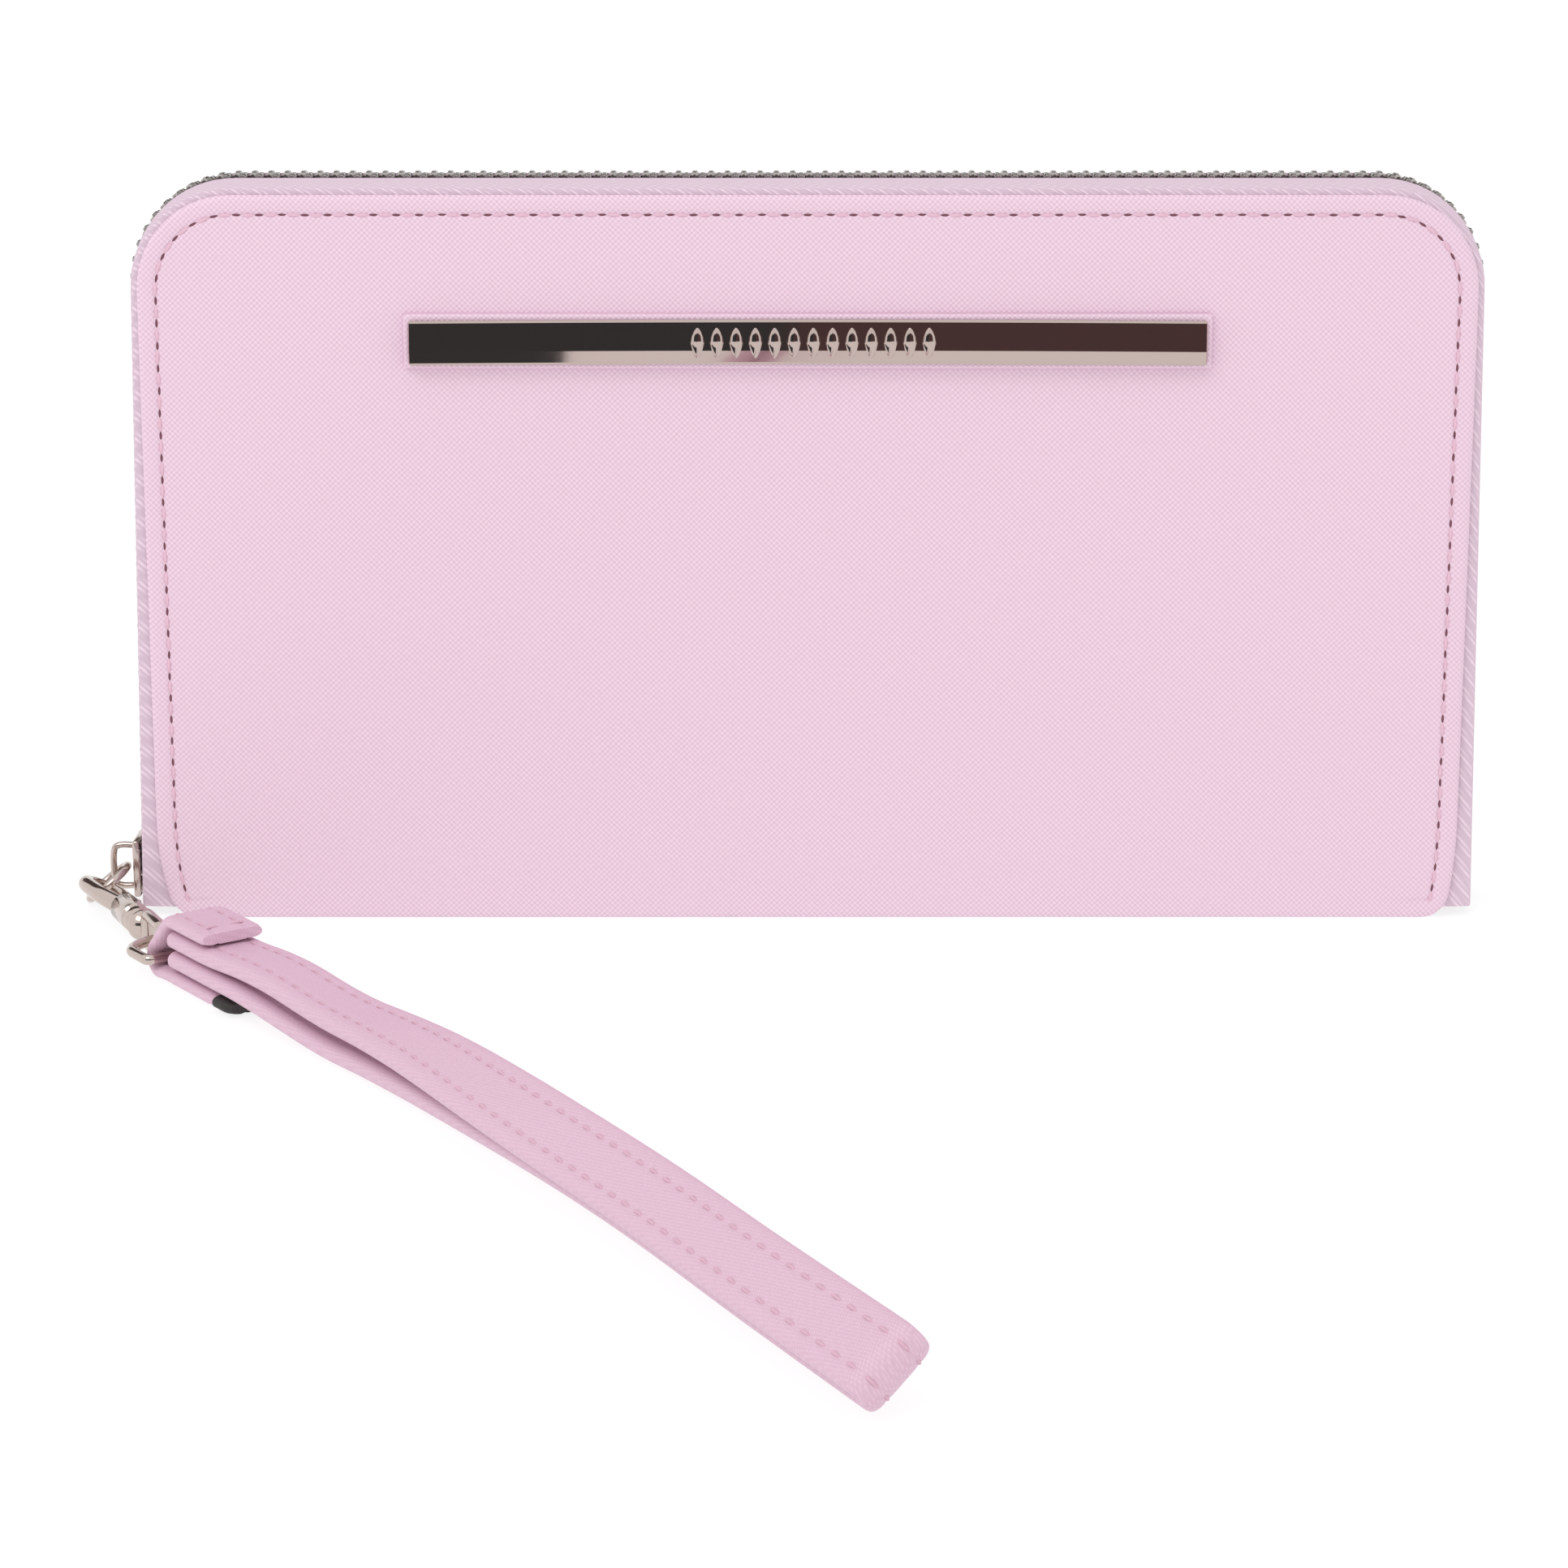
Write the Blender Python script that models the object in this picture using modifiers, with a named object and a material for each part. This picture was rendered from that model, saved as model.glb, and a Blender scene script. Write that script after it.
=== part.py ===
"""Wristlet wallet: a zip-around continental wallet with a wrist strap on a swivel clip.

The wallet stands on its spine. +X is to the right seen from the front, the front cover faces -Y,
+Z is up, and the origin is the centre of the flat underside of the spine.
"""

import math

import bmesh
import bpy
from mathutils import Matrix, Vector

MM = 0.001

# Driving dimensions.
WALLET_HALF_WIDTH = 97.5 * MM
WALLET_HEIGHT = 109.0 * MM
WALLET_HALF_DEPTH = 11.0 * MM
TOP_CORNER = 14.0 * MM
FOOT_CORNER = 3.5 * MM
FIT_GAP = 0.3 * MM

# Layers of one cover, counted inwards from its outer face, each with its thickness.
SKIN = 0.9 * MM
TAPE = 0.4 * MM
BOARD = 1.1 * MM
LINING = 0.4 * MM
POCKET_LEATHER = 0.4 * MM
POCKET_STEP = 15.0 * MM
POCKET_TOP = 92.0 * MM
POCKET_HALF_WIDTH = 87.0 * MM
POCKETS_PER_COVER = 3
FLOOR_OF_POCKETS = 3.6 * MM

# Zip around the open edge. Offsets are outwards from the edge of the cover.
TAPE_TUCK = 4.5 * MM
CHAIN_INNER_OFFSET = 0.8 * MM
CHAIN_OUTER_OFFSET = 2.2 * MM
CHAIN_NEAR = 0.6 * MM
CHAIN_FAR = 2.9 * MM
ZIP_START = 1.5 * MM
ZIP_FLARE = 2.2 * MM

# Name bar on the front cover.
BAR_HALF_LENGTH = 58.0 * MM
BAR_HALF_HEIGHT = 3.2 * MM
BAR_THICKNESS = 1.3 * MM
BAR_HEIGHT = 88.0 * MM
BAR_BASE_MARGIN = 0.8 * MM
BAR_BASE_THICKNESS = 0.8 * MM

# Spine and gussets.
SPINE_INSET = 2.0 * MM
SPINE_THICKNESS = 1.2 * MM
STIFFENER_THICKNESS = 0.4 * MM
STIFFENER_HALF_DEPTH = 8.6 * MM
GUSSET_TOP = 84.0 * MM
GUSSET_CLOTH = 0.4 * MM
GUSSET_PLEAT = [(93.6, -7.0), (90.0, -3.8), (93.2, 0.0), (90.0, 3.8), (93.6, 7.0)]

# Centre coin pocket.
COIN_HALF_WIDTH = 84.0 * MM
COIN_TOP = 88.0 * MM
COIN_HALF_DEPTH = 0.9 * MM
COIN_LEATHER = 0.4 * MM
COIN_CHAIN_MARGIN = 4.0 * MM
COIN_CHAIN_HEIGHT = 1.2 * MM
COIN_SLIDER_LENGTH = 7.0 * MM
COIN_PULL_LENGTH = 14.0 * MM

# Slider and clip.
SLIDER_HALF_WIDTH = 3.6 * MM
SLIDER_LOW = 1.0 * MM
SLIDER_LENGTH = 9.0 * MM
SLIDER_PLATE = 1.1 * MM
RING_RADIUS = 3.8 * MM
RING_WIRE = 0.55 * MM
BRIDGE_REACH = 3.2 * MM
BRIDGE_CROSSING = Vector((-104.9 * MM, 0.0, 5.1 * MM))
RING_LEAN = Vector((-0.60, -0.62, -0.50)).normalized()
CLIP_HEADING = math.radians(-64.0)
HOOK_RIM_TO_RING = 3.0 * MM
CLIP_ROLL = math.radians(-25.0)
HOOK_RADIUS = 4.0 * MM
HOOK_WIRE = 1.5 * MM
HOOK_THICKNESS = 2.0 * MM
BARREL_RADIUS = 2.2 * MM
BARREL_START = 13.0 * MM
BARREL_END = 22.5 * MM
BORE_RADIUS = 1.2 * MM
BORE_DEPTH = 3.0 * MM
STEM_RADIUS = 0.85 * MM
COLLAR_RADIUS = 2.4 * MM
EYE_START = 24.5 * MM
EYE_LENGTH = 9.5 * MM
EYE_HALF_HEIGHT = 3.1 * MM
EYE_WIRE = 0.8 * MM
D_CROSSING = 31.2 * MM
D_HEADING = math.radians(-54.0)
D_DEPTH = 8.2 * MM
D_HALF_WIDTH = 6.0 * MM
D_STRAIGHT = 4.4 * MM
D_WIRE = 0.8 * MM

# Wrist strap.
STRAP_WIDTH = 9.8 * MM
STRAP_THICKNESS = 2.7 * MM
STRAP_ROUTE = [(-75, -58.5), (-56, -82), (-38, -109), (-20, -138), (-5, -165), (8, -188)]
STRAP_LEAN = math.radians(40.0)
STRAP_LIFT = 0.3 * MM
STRAP_START = 4.2 * MM
STRAP_PARTING = 1.2 * MM
FOLD_STEPS = 8
TAB_THICKNESS = 2.0 * MM
TAB_TOP_LEAF = 15.0 * MM
TAB_BOTTOM_LEAF = 22.0 * MM
TAB_END_CAP = 4.5 * MM
TAB_NOSE = 2.1 * MM
TAB_BEND = 2.5 * MM

GATE_OUTLINE = [(0.4, 0.6), (0.7, 1.9), (-0.1, 2.3), (-0.9, 1.2), (-5.2, 1.1), (-5.0, 0.1),
                (-1.2, -0.5), (0.2, -0.5)]

PINK = (0.80, 0.56, 0.68)
SOFT_PINK = (0.74, 0.50, 0.63)
LILAC = (0.70, 0.53, 0.68)
NICKEL = (0.62, 0.58, 0.56)
GREYBOARD = (0.45, 0.38, 0.30)
BLACK = (0.02, 0.02, 0.02)

COLLECTION = bpy.data.collections.new("wristlet_wallet")
CUTTERS = bpy.data.collections.new("cutters")


def start_scene():
    for old in list(bpy.data.objects):
        bpy.data.objects.remove(old, do_unlink=True)
    bpy.context.scene.collection.children.link(COLLECTION)
    bpy.context.scene.collection.children.link(CUTTERS)


def finish(obj, colour, roughness, metallic=0.0):
    material = bpy.data.materials.new(obj.name)
    material.use_nodes = True
    shader = material.node_tree.nodes["Principled BSDF"]
    shader.inputs["Base Color"].default_value = (*colour, 1.0)
    shader.inputs["Roughness"].default_value = roughness
    shader.inputs["Metallic"].default_value = metallic
    obj.data.materials.clear()
    obj.data.materials.append(material)
    return obj


def leather(obj):
    return finish(obj, PINK, 0.55)


def metal(obj):
    return finish(obj, NICKEL, 0.25, 1.0)


def add(name, data, parent=None):
    obj = bpy.data.objects.new(name, data)
    COLLECTION.objects.link(obj)
    obj.parent = parent
    return obj


def empty(name, matrix, parent=None):
    obj = bpy.data.objects.new(name, None)
    COLLECTION.objects.link(obj)
    obj.parent = parent
    obj.matrix_world = matrix
    bpy.context.view_layer.update()
    return obj


def hang(objects, name, pivot):
    """Parent objects to an empty on their joint's axis, leaving them where they are."""
    hinge = empty(name, Matrix.Translation(pivot))
    bpy.context.view_layer.update()
    for obj in objects:
        obj.parent = hinge
        obj.matrix_parent_inverse = hinge.matrix_world.inverted()


def make_cutter(obj):
    COLLECTION.objects.unlink(obj)
    CUTTERS.objects.link(obj)
    obj.hide_render = True
    obj.display_type = "WIRE"


def ease(value, low, high):
    t = min(max((value - low) / (high - low), 0.0), 1.0)
    return t * t * (3 - 2 * t)


def arc(centre, radius, start, end, steps):
    """Points along an arc in a plane, angles in degrees."""
    points = []
    for i in range(steps + 1):
        angle = math.radians(start + (end - start) * i / steps)
        points.append((centre[0] + radius * math.cos(angle), centre[1] + radius * math.sin(angle)))
    return points


def flat_outline(name, points, thickness, bevel=0.0, parent=None):
    """A closed flat outline in local XY, given a thickness along local Z and rounded edges."""
    curve = bpy.data.curves.new(name, "CURVE")
    curve.dimensions = "2D"
    curve.fill_mode = "BOTH"
    curve.extrude = thickness / 2 - bevel
    curve.bevel_depth = bevel
    curve.bevel_resolution = 1
    curve.offset = -bevel
    spline = curve.splines.new("POLY")
    spline.points.add(len(points) - 1)
    for point, (x, y) in zip(spline.points, points):
        point.co = (x, y, 0.0, 1.0)
    spline.use_cyclic_u = True
    return add(name, curve, parent)


def upright(name, points, y_from, y_to, bevel=0.0):
    """A flat outline that stands in the XZ plane between two depths."""
    obj = flat_outline(name, points, abs(y_to - y_from), bevel)
    obj.location = (0.0, (y_from + y_to) / 2, 0.0)
    obj.rotation_euler = (math.pi / 2, 0.0, 0.0)
    return obj


def tube(name, points, radius, closed=False, parent=None):
    """A round wire through points, with filled ends or closed on itself."""
    curve = bpy.data.curves.new(name, "CURVE")
    curve.dimensions = "3D"
    curve.bevel_depth = radius
    curve.bevel_resolution = 2
    curve.use_fill_caps = not closed
    spline = curve.splines.new("POLY")
    spline.points.add(len(points) - 1)
    for point, place in zip(spline.points, points):
        point.co = (*place, 1.0)
    spline.use_cyclic_u = closed
    return add(name, curve, parent)


def box(name, low, high, bevel=0.0, parent=None):
    mesh = bpy.data.meshes.new(name)
    form = bmesh.new()
    size = Vector(high) - Vector(low)
    centre = (Vector(high) + Vector(low)) / 2
    bmesh.ops.create_cube(form, size=1.0, matrix=Matrix.Diagonal((*size, 1.0)))
    form.to_mesh(mesh)
    form.free()
    obj = add(name, mesh, parent)
    obj.location = centre
    if bevel:
        rounding = obj.modifiers.new("rounding", "BEVEL")
        rounding.width = bevel
        rounding.segments = 2
    return obj


def rod(name, start, end, radius, parent=None, segments=20):
    """A round rod between two points on its parent's local axes."""
    mesh = bpy.data.meshes.new(name)
    form = bmesh.new()
    axis = Vector(end) - Vector(start)
    bmesh.ops.create_cone(form, cap_ends=True, segments=segments, radius1=radius, radius2=radius,
                          depth=axis.length)
    form.to_mesh(mesh)
    form.free()
    mesh.shade_smooth()
    mesh.set_sharp_from_angle(angle=math.radians(40))
    obj = add(name, mesh, parent)
    obj.location = (Vector(start) + Vector(end)) / 2
    obj.rotation_euler = axis.to_track_quat("Z", "Y").to_euler()
    return obj


def as_mesh(obj):
    """The object as a welded mesh object of the same name and place."""
    bpy.context.view_layer.update()
    evaluated = obj.evaluated_get(bpy.context.evaluated_depsgraph_get())
    mesh = bpy.data.meshes.new_from_object(evaluated)
    form = bmesh.new()
    form.from_mesh(mesh)
    bmesh.ops.remove_doubles(form, verts=form.verts, dist=0.001 * MM)
    form.to_mesh(mesh)
    form.free()
    name, parent, matrix = obj.name, obj.parent, obj.matrix_world.copy()
    bpy.data.objects.remove(obj, do_unlink=True)
    new = add(name, mesh, parent)
    new.matrix_world = matrix
    return new


def combine(obj, other, operation):
    """Cut other from obj or join it to obj, keeping other as a hidden guide."""
    make_cutter(other)
    step = obj.modifiers.new(other.name, "BOOLEAN")
    step.operation = operation
    step.solver = "EXACT"
    step.object = other
    return obj


def loft(name, rings, parent=None):
    """A skin over rings of points, each ring with as many points, capped at both ends."""
    mesh = bpy.data.meshes.new(name)
    form = bmesh.new()
    rows = [[form.verts.new(point) for point in ring] for ring in rings]
    count = len(rows[0])
    for low, high in zip(rows, rows[1:]):
        for i in range(count):
            j = (i + 1) % count
            form.faces.new((low[i], low[j], high[j], high[i]))
    form.faces.new(rows[0])
    form.faces.new(rows[-1])
    bmesh.ops.recalc_face_normals(form, faces=form.faces)
    form.to_mesh(mesh)
    form.free()
    mesh.shade_smooth()
    mesh.set_sharp_from_angle(angle=math.radians(40))
    return add(name, mesh, parent)


def cover_outline(inset=0.0):
    """The outline of a cover, standing on its foot, drawn in by an inset."""
    half = WALLET_HALF_WIDTH - inset
    low, high = inset, WALLET_HEIGHT - inset
    foot = max(FOOT_CORNER - inset, 0.5 * MM)
    top = TOP_CORNER - inset
    points = arc((-half + foot, low + foot), foot, 180, 270, 3)
    points += arc((half - foot, low + foot), foot, 270, 360, 3)
    points += arc((half - top, high - top), top, 0, 90, 8)
    points += arc((-half + top, high - top), top, 90, 180, 8)
    return points


def zip_flare(z):
    """How much further out the teeth stand at a height: most at the foot, nothing at the corner."""
    side_top = WALLET_HEIGHT - TOP_CORNER
    return ZIP_FLARE * (side_top - z) / (side_top - ZIP_START)


def edge_path(offset):
    """The open path up one side, over the top and down the other, outside the cover's edge."""
    half = WALLET_HALF_WIDTH + offset
    high = WALLET_HEIGHT + offset
    top = TOP_CORNER + offset
    foot = half + zip_flare(ZIP_START) * ease(offset, 0.0, CHAIN_INNER_OFFSET)
    points = [(-foot, ZIP_START)]
    points += arc((-half + top, high - top), top, 180, 90, 8)
    points += arc((half - top, high - top), top, 90, 0, 8)
    points.append((foot, ZIP_START))
    return points


def edge_strip(name, section):
    """A strip swept round the open edge. The section is a closed list of (offset, depth)."""
    paths = [edge_path(offset) for offset, depth in section]
    rings = []
    for station in range(len(paths[0])):
        ring = []
        for path, (offset, depth) in zip(paths, section):
            ring.append((path[station][0], depth, path[station][1]))
        rings.append(ring)
    return loft(name, rings)


def cover_layers(side, facing):
    """One cover: skin, board, lining and card pockets. facing is -1 in front and 1 behind."""
    outer = WALLET_HALF_DEPTH

    def layer(name, depth, thickness, points, bevel=0.0):
        return upright(name, points, facing * depth, facing * (depth - thickness), bevel)

    leather(layer(f"{side}_cover_skin", outer, SKIN, cover_outline(), 0.2 * MM))
    board_depth = outer - SKIN - TAPE - 2 * FIT_GAP
    finish(layer(f"{side}_cover_board", board_depth, BOARD, cover_outline(2.0 * MM)),
           GREYBOARD, 0.9)
    lining_depth = board_depth - BOARD - FIT_GAP
    finish(layer(f"{side}_lining", lining_depth, LINING, cover_outline(2.6 * MM)), SOFT_PINK, 0.8)
    depth = lining_depth - LINING - FIT_GAP
    for number in range(POCKETS_PER_COVER):
        top = POCKET_TOP - number * POCKET_STEP
        half = POCKET_HALF_WIDTH
        points = [(-half, FLOOR_OF_POCKETS), (half, FLOOR_OF_POCKETS), (half, top), (-half, top)]
        leather(layer(f"{side}_card_pocket_{number + 1}", depth, POCKET_LEATHER, points))
        depth -= POCKET_LEATHER + FIT_GAP
    return depth


def zip_tape_section(facing):
    """The tape's section: tucked under the skin, round the edge and up to the teeth."""
    tuck = WALLET_HALF_DEPTH - SKIN - FIT_GAP
    half = TAPE / 2
    line = [(-TAPE_TUCK, tuck - half), (0.2 * MM, tuck - half), (1.0 * MM, 8.0 * MM),
            (1.4 * MM, 5.6 * MM), (1.5 * MM, CHAIN_FAR + 0.6 * MM)]
    centre = [Vector(point) for point in line]
    outside, inside = [], []
    for i, point in enumerate(centre):
        before = centre[max(i - 1, 0)]
        after = centre[min(i + 1, len(centre) - 1)]
        along = (after - before).normalized()
        across = Vector((-along.y, along.x)) * half
        outside.append(point + across)
        inside.append(point - across)
    ring = outside + inside[::-1]
    return [(p.x, facing * p.y) for p in ring]


def zip_chain_section(facing):
    return [(CHAIN_INNER_OFFSET, facing * CHAIN_NEAR), (CHAIN_OUTER_OFFSET, facing * CHAIN_NEAR),
            (CHAIN_OUTER_OFFSET, facing * CHAIN_FAR), (CHAIN_INNER_OFFSET, facing * CHAIN_FAR)]


def zip_halves():
    for side, facing in (("front", -1), ("back", 1)):
        finish(edge_strip(f"{side}_zip_tape", zip_tape_section(facing)), LILAC, 0.85)
        metal(edge_strip(f"{side}_zip_chain", zip_chain_section(facing)))


def zip_stops():
    """Small metal stops below both ends of the chain, on the front half."""
    edge = WALLET_HALF_WIDTH + ZIP_FLARE + CHAIN_INNER_OFFSET
    for name, sign in (("zip_stop_left", -1), ("zip_stop_right", 1)):
        low_x, high_x = sorted((sign * edge, sign * (edge + 1.5 * MM)))
        metal(box(name, (low_x, -2.9 * MM, 0.2 * MM), (high_x, -CHAIN_NEAR, 1.0 * MM), 0.15 * MM))


def spine():
    half_depth = WALLET_HALF_DEPTH - SKIN - FIT_GAP
    half = WALLET_HALF_WIDTH - SPINE_INSET
    cover = box("spine_cover", (-half, -half_depth, 0.0), (half, half_depth, SPINE_THICKNESS),
                0.2 * MM)
    leather(cover)
    low = SPINE_THICKNESS + FIT_GAP
    half -= 3 * MM
    stiffener = box("spine_stiffener", (-half, -STIFFENER_HALF_DEPTH, low),
                    (half, STIFFENER_HALF_DEPTH, low + STIFFENER_THICKNESS))
    finish(stiffener, GREYBOARD, 0.9)


def name_bar():
    """A polished bar on a raised leather surround on the front cover."""
    base_back = -WALLET_HALF_DEPTH - FIT_GAP
    base_front = base_back - BAR_BASE_THICKNESS
    half = BAR_HALF_LENGTH + BAR_BASE_MARGIN
    tall = BAR_HALF_HEIGHT + BAR_BASE_MARGIN
    base = box("name_bar_base", (-half, base_front, BAR_HEIGHT - tall),
               (half, base_back, BAR_HEIGHT + tall), 0.3 * MM)
    leather(base)
    bar_back = base_front - FIT_GAP
    bar_front = bar_back - BAR_THICKNESS
    bar = box("name_bar", (-BAR_HALF_LENGTH, bar_front, BAR_HEIGHT - BAR_HALF_HEIGHT),
              (BAR_HALF_LENGTH, bar_back, BAR_HEIGHT + BAR_HALF_HEIGHT), 0.4 * MM)
    metal(bar)


def gussets():
    """Pleated side gussets between the covers, folded inwards either side of the coin pocket."""
    height = GUSSET_TOP - FLOOR_OF_POCKETS
    for name, sign in (("gusset_left", -1), ("gusset_right", 1)):
        curve = bpy.data.curves.new(name, "CURVE")
        curve.dimensions = "2D"
        curve.fill_mode = "NONE"
        curve.extrude = height / 2
        spline = curve.splines.new("POLY")
        spline.points.add(len(GUSSET_PLEAT) - 1)
        for point, (x, y) in zip(spline.points, GUSSET_PLEAT):
            point.co = (sign * x * MM, y * MM, 0.0, 1.0)
        obj = add(name, curve)
        obj.location = (0.0, 0.0, FLOOR_OF_POCKETS + height / 2)
        shell = obj.modifiers.new("cloth", "SOLIDIFY")
        shell.thickness = GUSSET_CLOTH
        shell.offset = 0.0
        finish(obj, SOFT_PINK, 0.8)


def coin_pocket():
    """A flat zipped pocket between the two bill compartments."""
    half, low, high = COIN_HALF_WIDTH, FLOOR_OF_POCKETS, COIN_TOP
    outline = [(-half, low), (half, low), (half, high), (-half, high)]
    inner = COIN_HALF_DEPTH - COIN_LEATHER
    pieces = []
    for name, sign in (("coin_pocket_front", -1), ("coin_pocket_back", 1)):
        wall = upright(name, outline, sign * COIN_HALF_DEPTH, sign * inner)
        pieces.append(finish(wall, SOFT_PINK, 0.8))
    chain_low = COIN_TOP + FIT_GAP
    chain_high = chain_low + COIN_CHAIN_HEIGHT
    chain_half = half - COIN_CHAIN_MARGIN
    chain = box("coin_zip_chain", (-chain_half, -0.8 * MM, chain_low),
                (chain_half, 0.8 * MM, chain_high))
    pieces.append(metal(chain))
    hang(pieces, "coin_pocket_fold", (0.0, 0.0, FLOOR_OF_POCKETS - FIT_GAP))
    slider_low = chain_high + FIT_GAP
    slider_high = slider_low + 1.0 * MM
    left = -chain_half + 2 * MM
    metal(box("coin_slider", (left, -1.7 * MM, slider_low),
              (left + COIN_SLIDER_LENGTH, 1.7 * MM, slider_high), 0.3 * MM))
    pull_low = slider_high + FIT_GAP
    pull_left = left + 1.0 * MM
    pull = metal(box("coin_pull", (pull_left, -1.5 * MM, pull_low),
                     (pull_left + COIN_PULL_LENGTH, 1.5 * MM, pull_low + 0.8 * MM), 0.3 * MM))
    hang([pull], "coin_pull_hinge", (pull_left + 0.4 * MM, 0.0, pull_low + 0.4 * MM))


def slider():
    """The slider: two plates joined by a thin post between the rows of teeth, and its bridge."""
    edge = WALLET_HALF_WIDTH + zip_flare(SLIDER_LOW + SLIDER_LENGTH / 2)
    teeth_in = -(edge + CHAIN_INNER_OFFSET)
    teeth_out = -(edge + CHAIN_OUTER_OFFSET)
    low = SLIDER_LOW
    high = low + SLIDER_LENGTH
    half = SLIDER_HALF_WIDTH
    outer = teeth_out - FIT_GAP
    inner = teeth_in + FIT_GAP
    body = box("slider_body", (outer - SLIDER_PLATE, -half, low), (outer, half, high), 0.3 * MM)
    narrow = half - 0.6 * MM
    inner_plate = box("slider_inner_plate", (inner, -narrow, low), (inner + 0.8 * MM, narrow, high))
    post = box("slider_post", (outer - 0.5 * MM, -0.3 * MM, low + 3 * MM),
               (inner + 0.4 * MM, 0.3 * MM, high - 3 * MM))
    combine(body, post, "UNION")
    combine(body, inner_plate, "UNION")
    metal(body)
    face = outer - SLIDER_PLATE - FIT_GAP
    low_leg, high_leg = low + 1.0 * MM, high - 1.6 * MM
    reach = BRIDGE_REACH
    path = [(face - 0.1 * MM, 0.0, low_leg), (face - reach + 0.8 * MM, 0.0, low_leg),
            (face - reach, 0.0, low_leg + 0.9 * MM), (face - reach, 0.0, high_leg - 0.9 * MM),
            (face - reach + 0.8 * MM, 0.0, high_leg), (face - 0.1 * MM, 0.0, high_leg)]
    bridge = metal(tube("slider_bridge", path, 0.5 * MM))
    hang([body, bridge], "slider_path", (teeth_out, 0.0, low))


def ring_plane():
    """The pull ring's centre and two directions across each other in its plane."""
    across = (Vector((0, 1, 0)) - RING_LEAN * RING_LEAN.y).normalized()
    return BRIDGE_CROSSING + RING_LEAN * RING_RADIUS, RING_LEAN, across


def ring_front():
    """The foremost point of the ring, where the clip's hook hangs on it."""
    centre, first, second = ring_plane()
    return centre - (first * first.y + second * second.y).normalized() * RING_RADIUS


def pull_ring():
    centre, first, second = ring_plane()
    points = []
    for i in range(24):
        angle = math.tau * i / 24
        points.append(centre + RING_RADIUS * (math.cos(angle) * first + math.sin(angle) * second))
    ring = metal(tube("pull_ring", points, RING_WIRE, closed=True))
    hang([ring], "ring_hinge", BRIDGE_CROSSING)


def hook_outline():
    """The clip's hook in plan: an open loop that leaves room for the gate on its far side."""
    radius = HOOK_RADIUS
    inner = radius - HOOK_WIRE
    centre = (radius, 0.0)
    root, tip = 275, 62
    points = [(BARREL_START + 1.5 * MM, -1.6 * MM), (BARREL_START - 1 * MM, -2.2 * MM),
              (7.0 * MM, -3.5 * MM)]
    points += arc(centre, radius, root, tip, 14)
    points += arc(centre, inner, tip, root, 10)
    points += [(6.6 * MM, -2.1 * MM), (BARREL_START - 2.2 * MM, -1.1 * MM),
               (BARREL_START - 1.2 * MM, 0.2 * MM), (BARREL_START - 0.6 * MM, 1.6 * MM),
               (BARREL_START + 1.5 * MM, 1.6 * MM)]
    return points


def clip(frame):
    """Hook with its barrel, sprung gate, swivel eye: all along the clip's own X axis."""
    flat = empty("clip_plane", frame.matrix_world @ Matrix.Rotation(CLIP_ROLL, 4, "X"), frame)
    hook = as_mesh(flat_outline("claw_body", hook_outline(), HOOK_THICKNESS, 0.35 * MM, flat))
    barrel = rod("claw_barrel", (BARREL_START, 0, 0), (BARREL_END, 0, 0), BARREL_RADIUS, flat)
    bore = rod("claw_bore", (BARREL_END - BORE_DEPTH, 0, 0), (BARREL_END + 1 * MM, 0, 0),
               BORE_RADIUS, flat)
    combine(hook, barrel, "UNION")
    combine(hook, bore, "DIFFERENCE")
    metal(hook)
    root = Vector((BARREL_START - 1.0 * MM, 2.7 * MM, 0.0))
    gate_frame = empty("gate_hinge", flat.matrix_world @ Matrix.Translation(root), flat)
    gate = [(x * MM, y * MM) for x, y in GATE_OUTLINE]
    metal(flat_outline("claw_gate", gate, 1.4 * MM, 0.2 * MM, gate_frame))
    swivel(frame)


def swivel(frame):
    """The collar, its stem in the barrel's bore and the squared eye, as one piece."""
    collar = rod("swivel_eye", (BARREL_END + FIT_GAP, 0, 0), (EYE_START + 0.3 * MM, 0, 0),
                 COLLAR_RADIUS, frame)
    stem = rod("swivel_stem", (BARREL_END - BORE_DEPTH + 0.5 * MM, 0, 0),
               (BARREL_END + 1 * MM, 0, 0), STEM_RADIUS, frame)
    wire, half_height = EYE_WIRE, EYE_HALF_HEIGHT - EYE_WIRE
    start, end = EYE_START + wire, EYE_START + EYE_LENGTH - wire
    corner = 1.4 * MM
    loop = arc((start + corner, half_height - corner), corner, 180, 90, 4)
    loop += arc((end - corner, half_height - corner), corner, 90, 0, 4)
    loop += arc((end - corner, corner - half_height), corner, 0, -90, 4)
    loop += arc((start + corner, corner - half_height), corner, -90, -180, 4)
    eye = as_mesh(tube("swivel_loop", [(x, 0.0, z) for x, z in loop], wire, True, frame))
    combine(collar, stem, "UNION")
    combine(collar, eye, "UNION")
    metal(collar)


def d_ring(frame):
    """A D-shaped ring in its own plane: the round end through the eye, the bar in the strap."""
    round_depth = D_DEPTH - D_STRAIGHT
    points = []
    for i in range(13):
        angle = math.radians(90 + 180 * i / 12)
        points.append((round_depth * (1 + math.cos(angle)), D_HALF_WIDTH * math.sin(angle), 0.0))
    points.append((D_DEPTH, -D_HALF_WIDTH, 0.0))
    points.append((D_DEPTH, D_HALF_WIDTH, 0.0))
    metal(tube("d_ring", points, D_WIRE, True, frame))


def rounded_section(width, thickness):
    """A flat strap's section with rounded edges, in (across, normal)."""
    r = thickness * 0.42
    w, h = width / 2 - r, thickness / 2 - r
    ring = []
    for cx, cy, start in ((w, h, 0), (-w, h, 90), (-w, -h, 180), (w, -h, 270)):
        ring += arc((cx, cy), r, start, start + 90, 2)
    return ring


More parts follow.
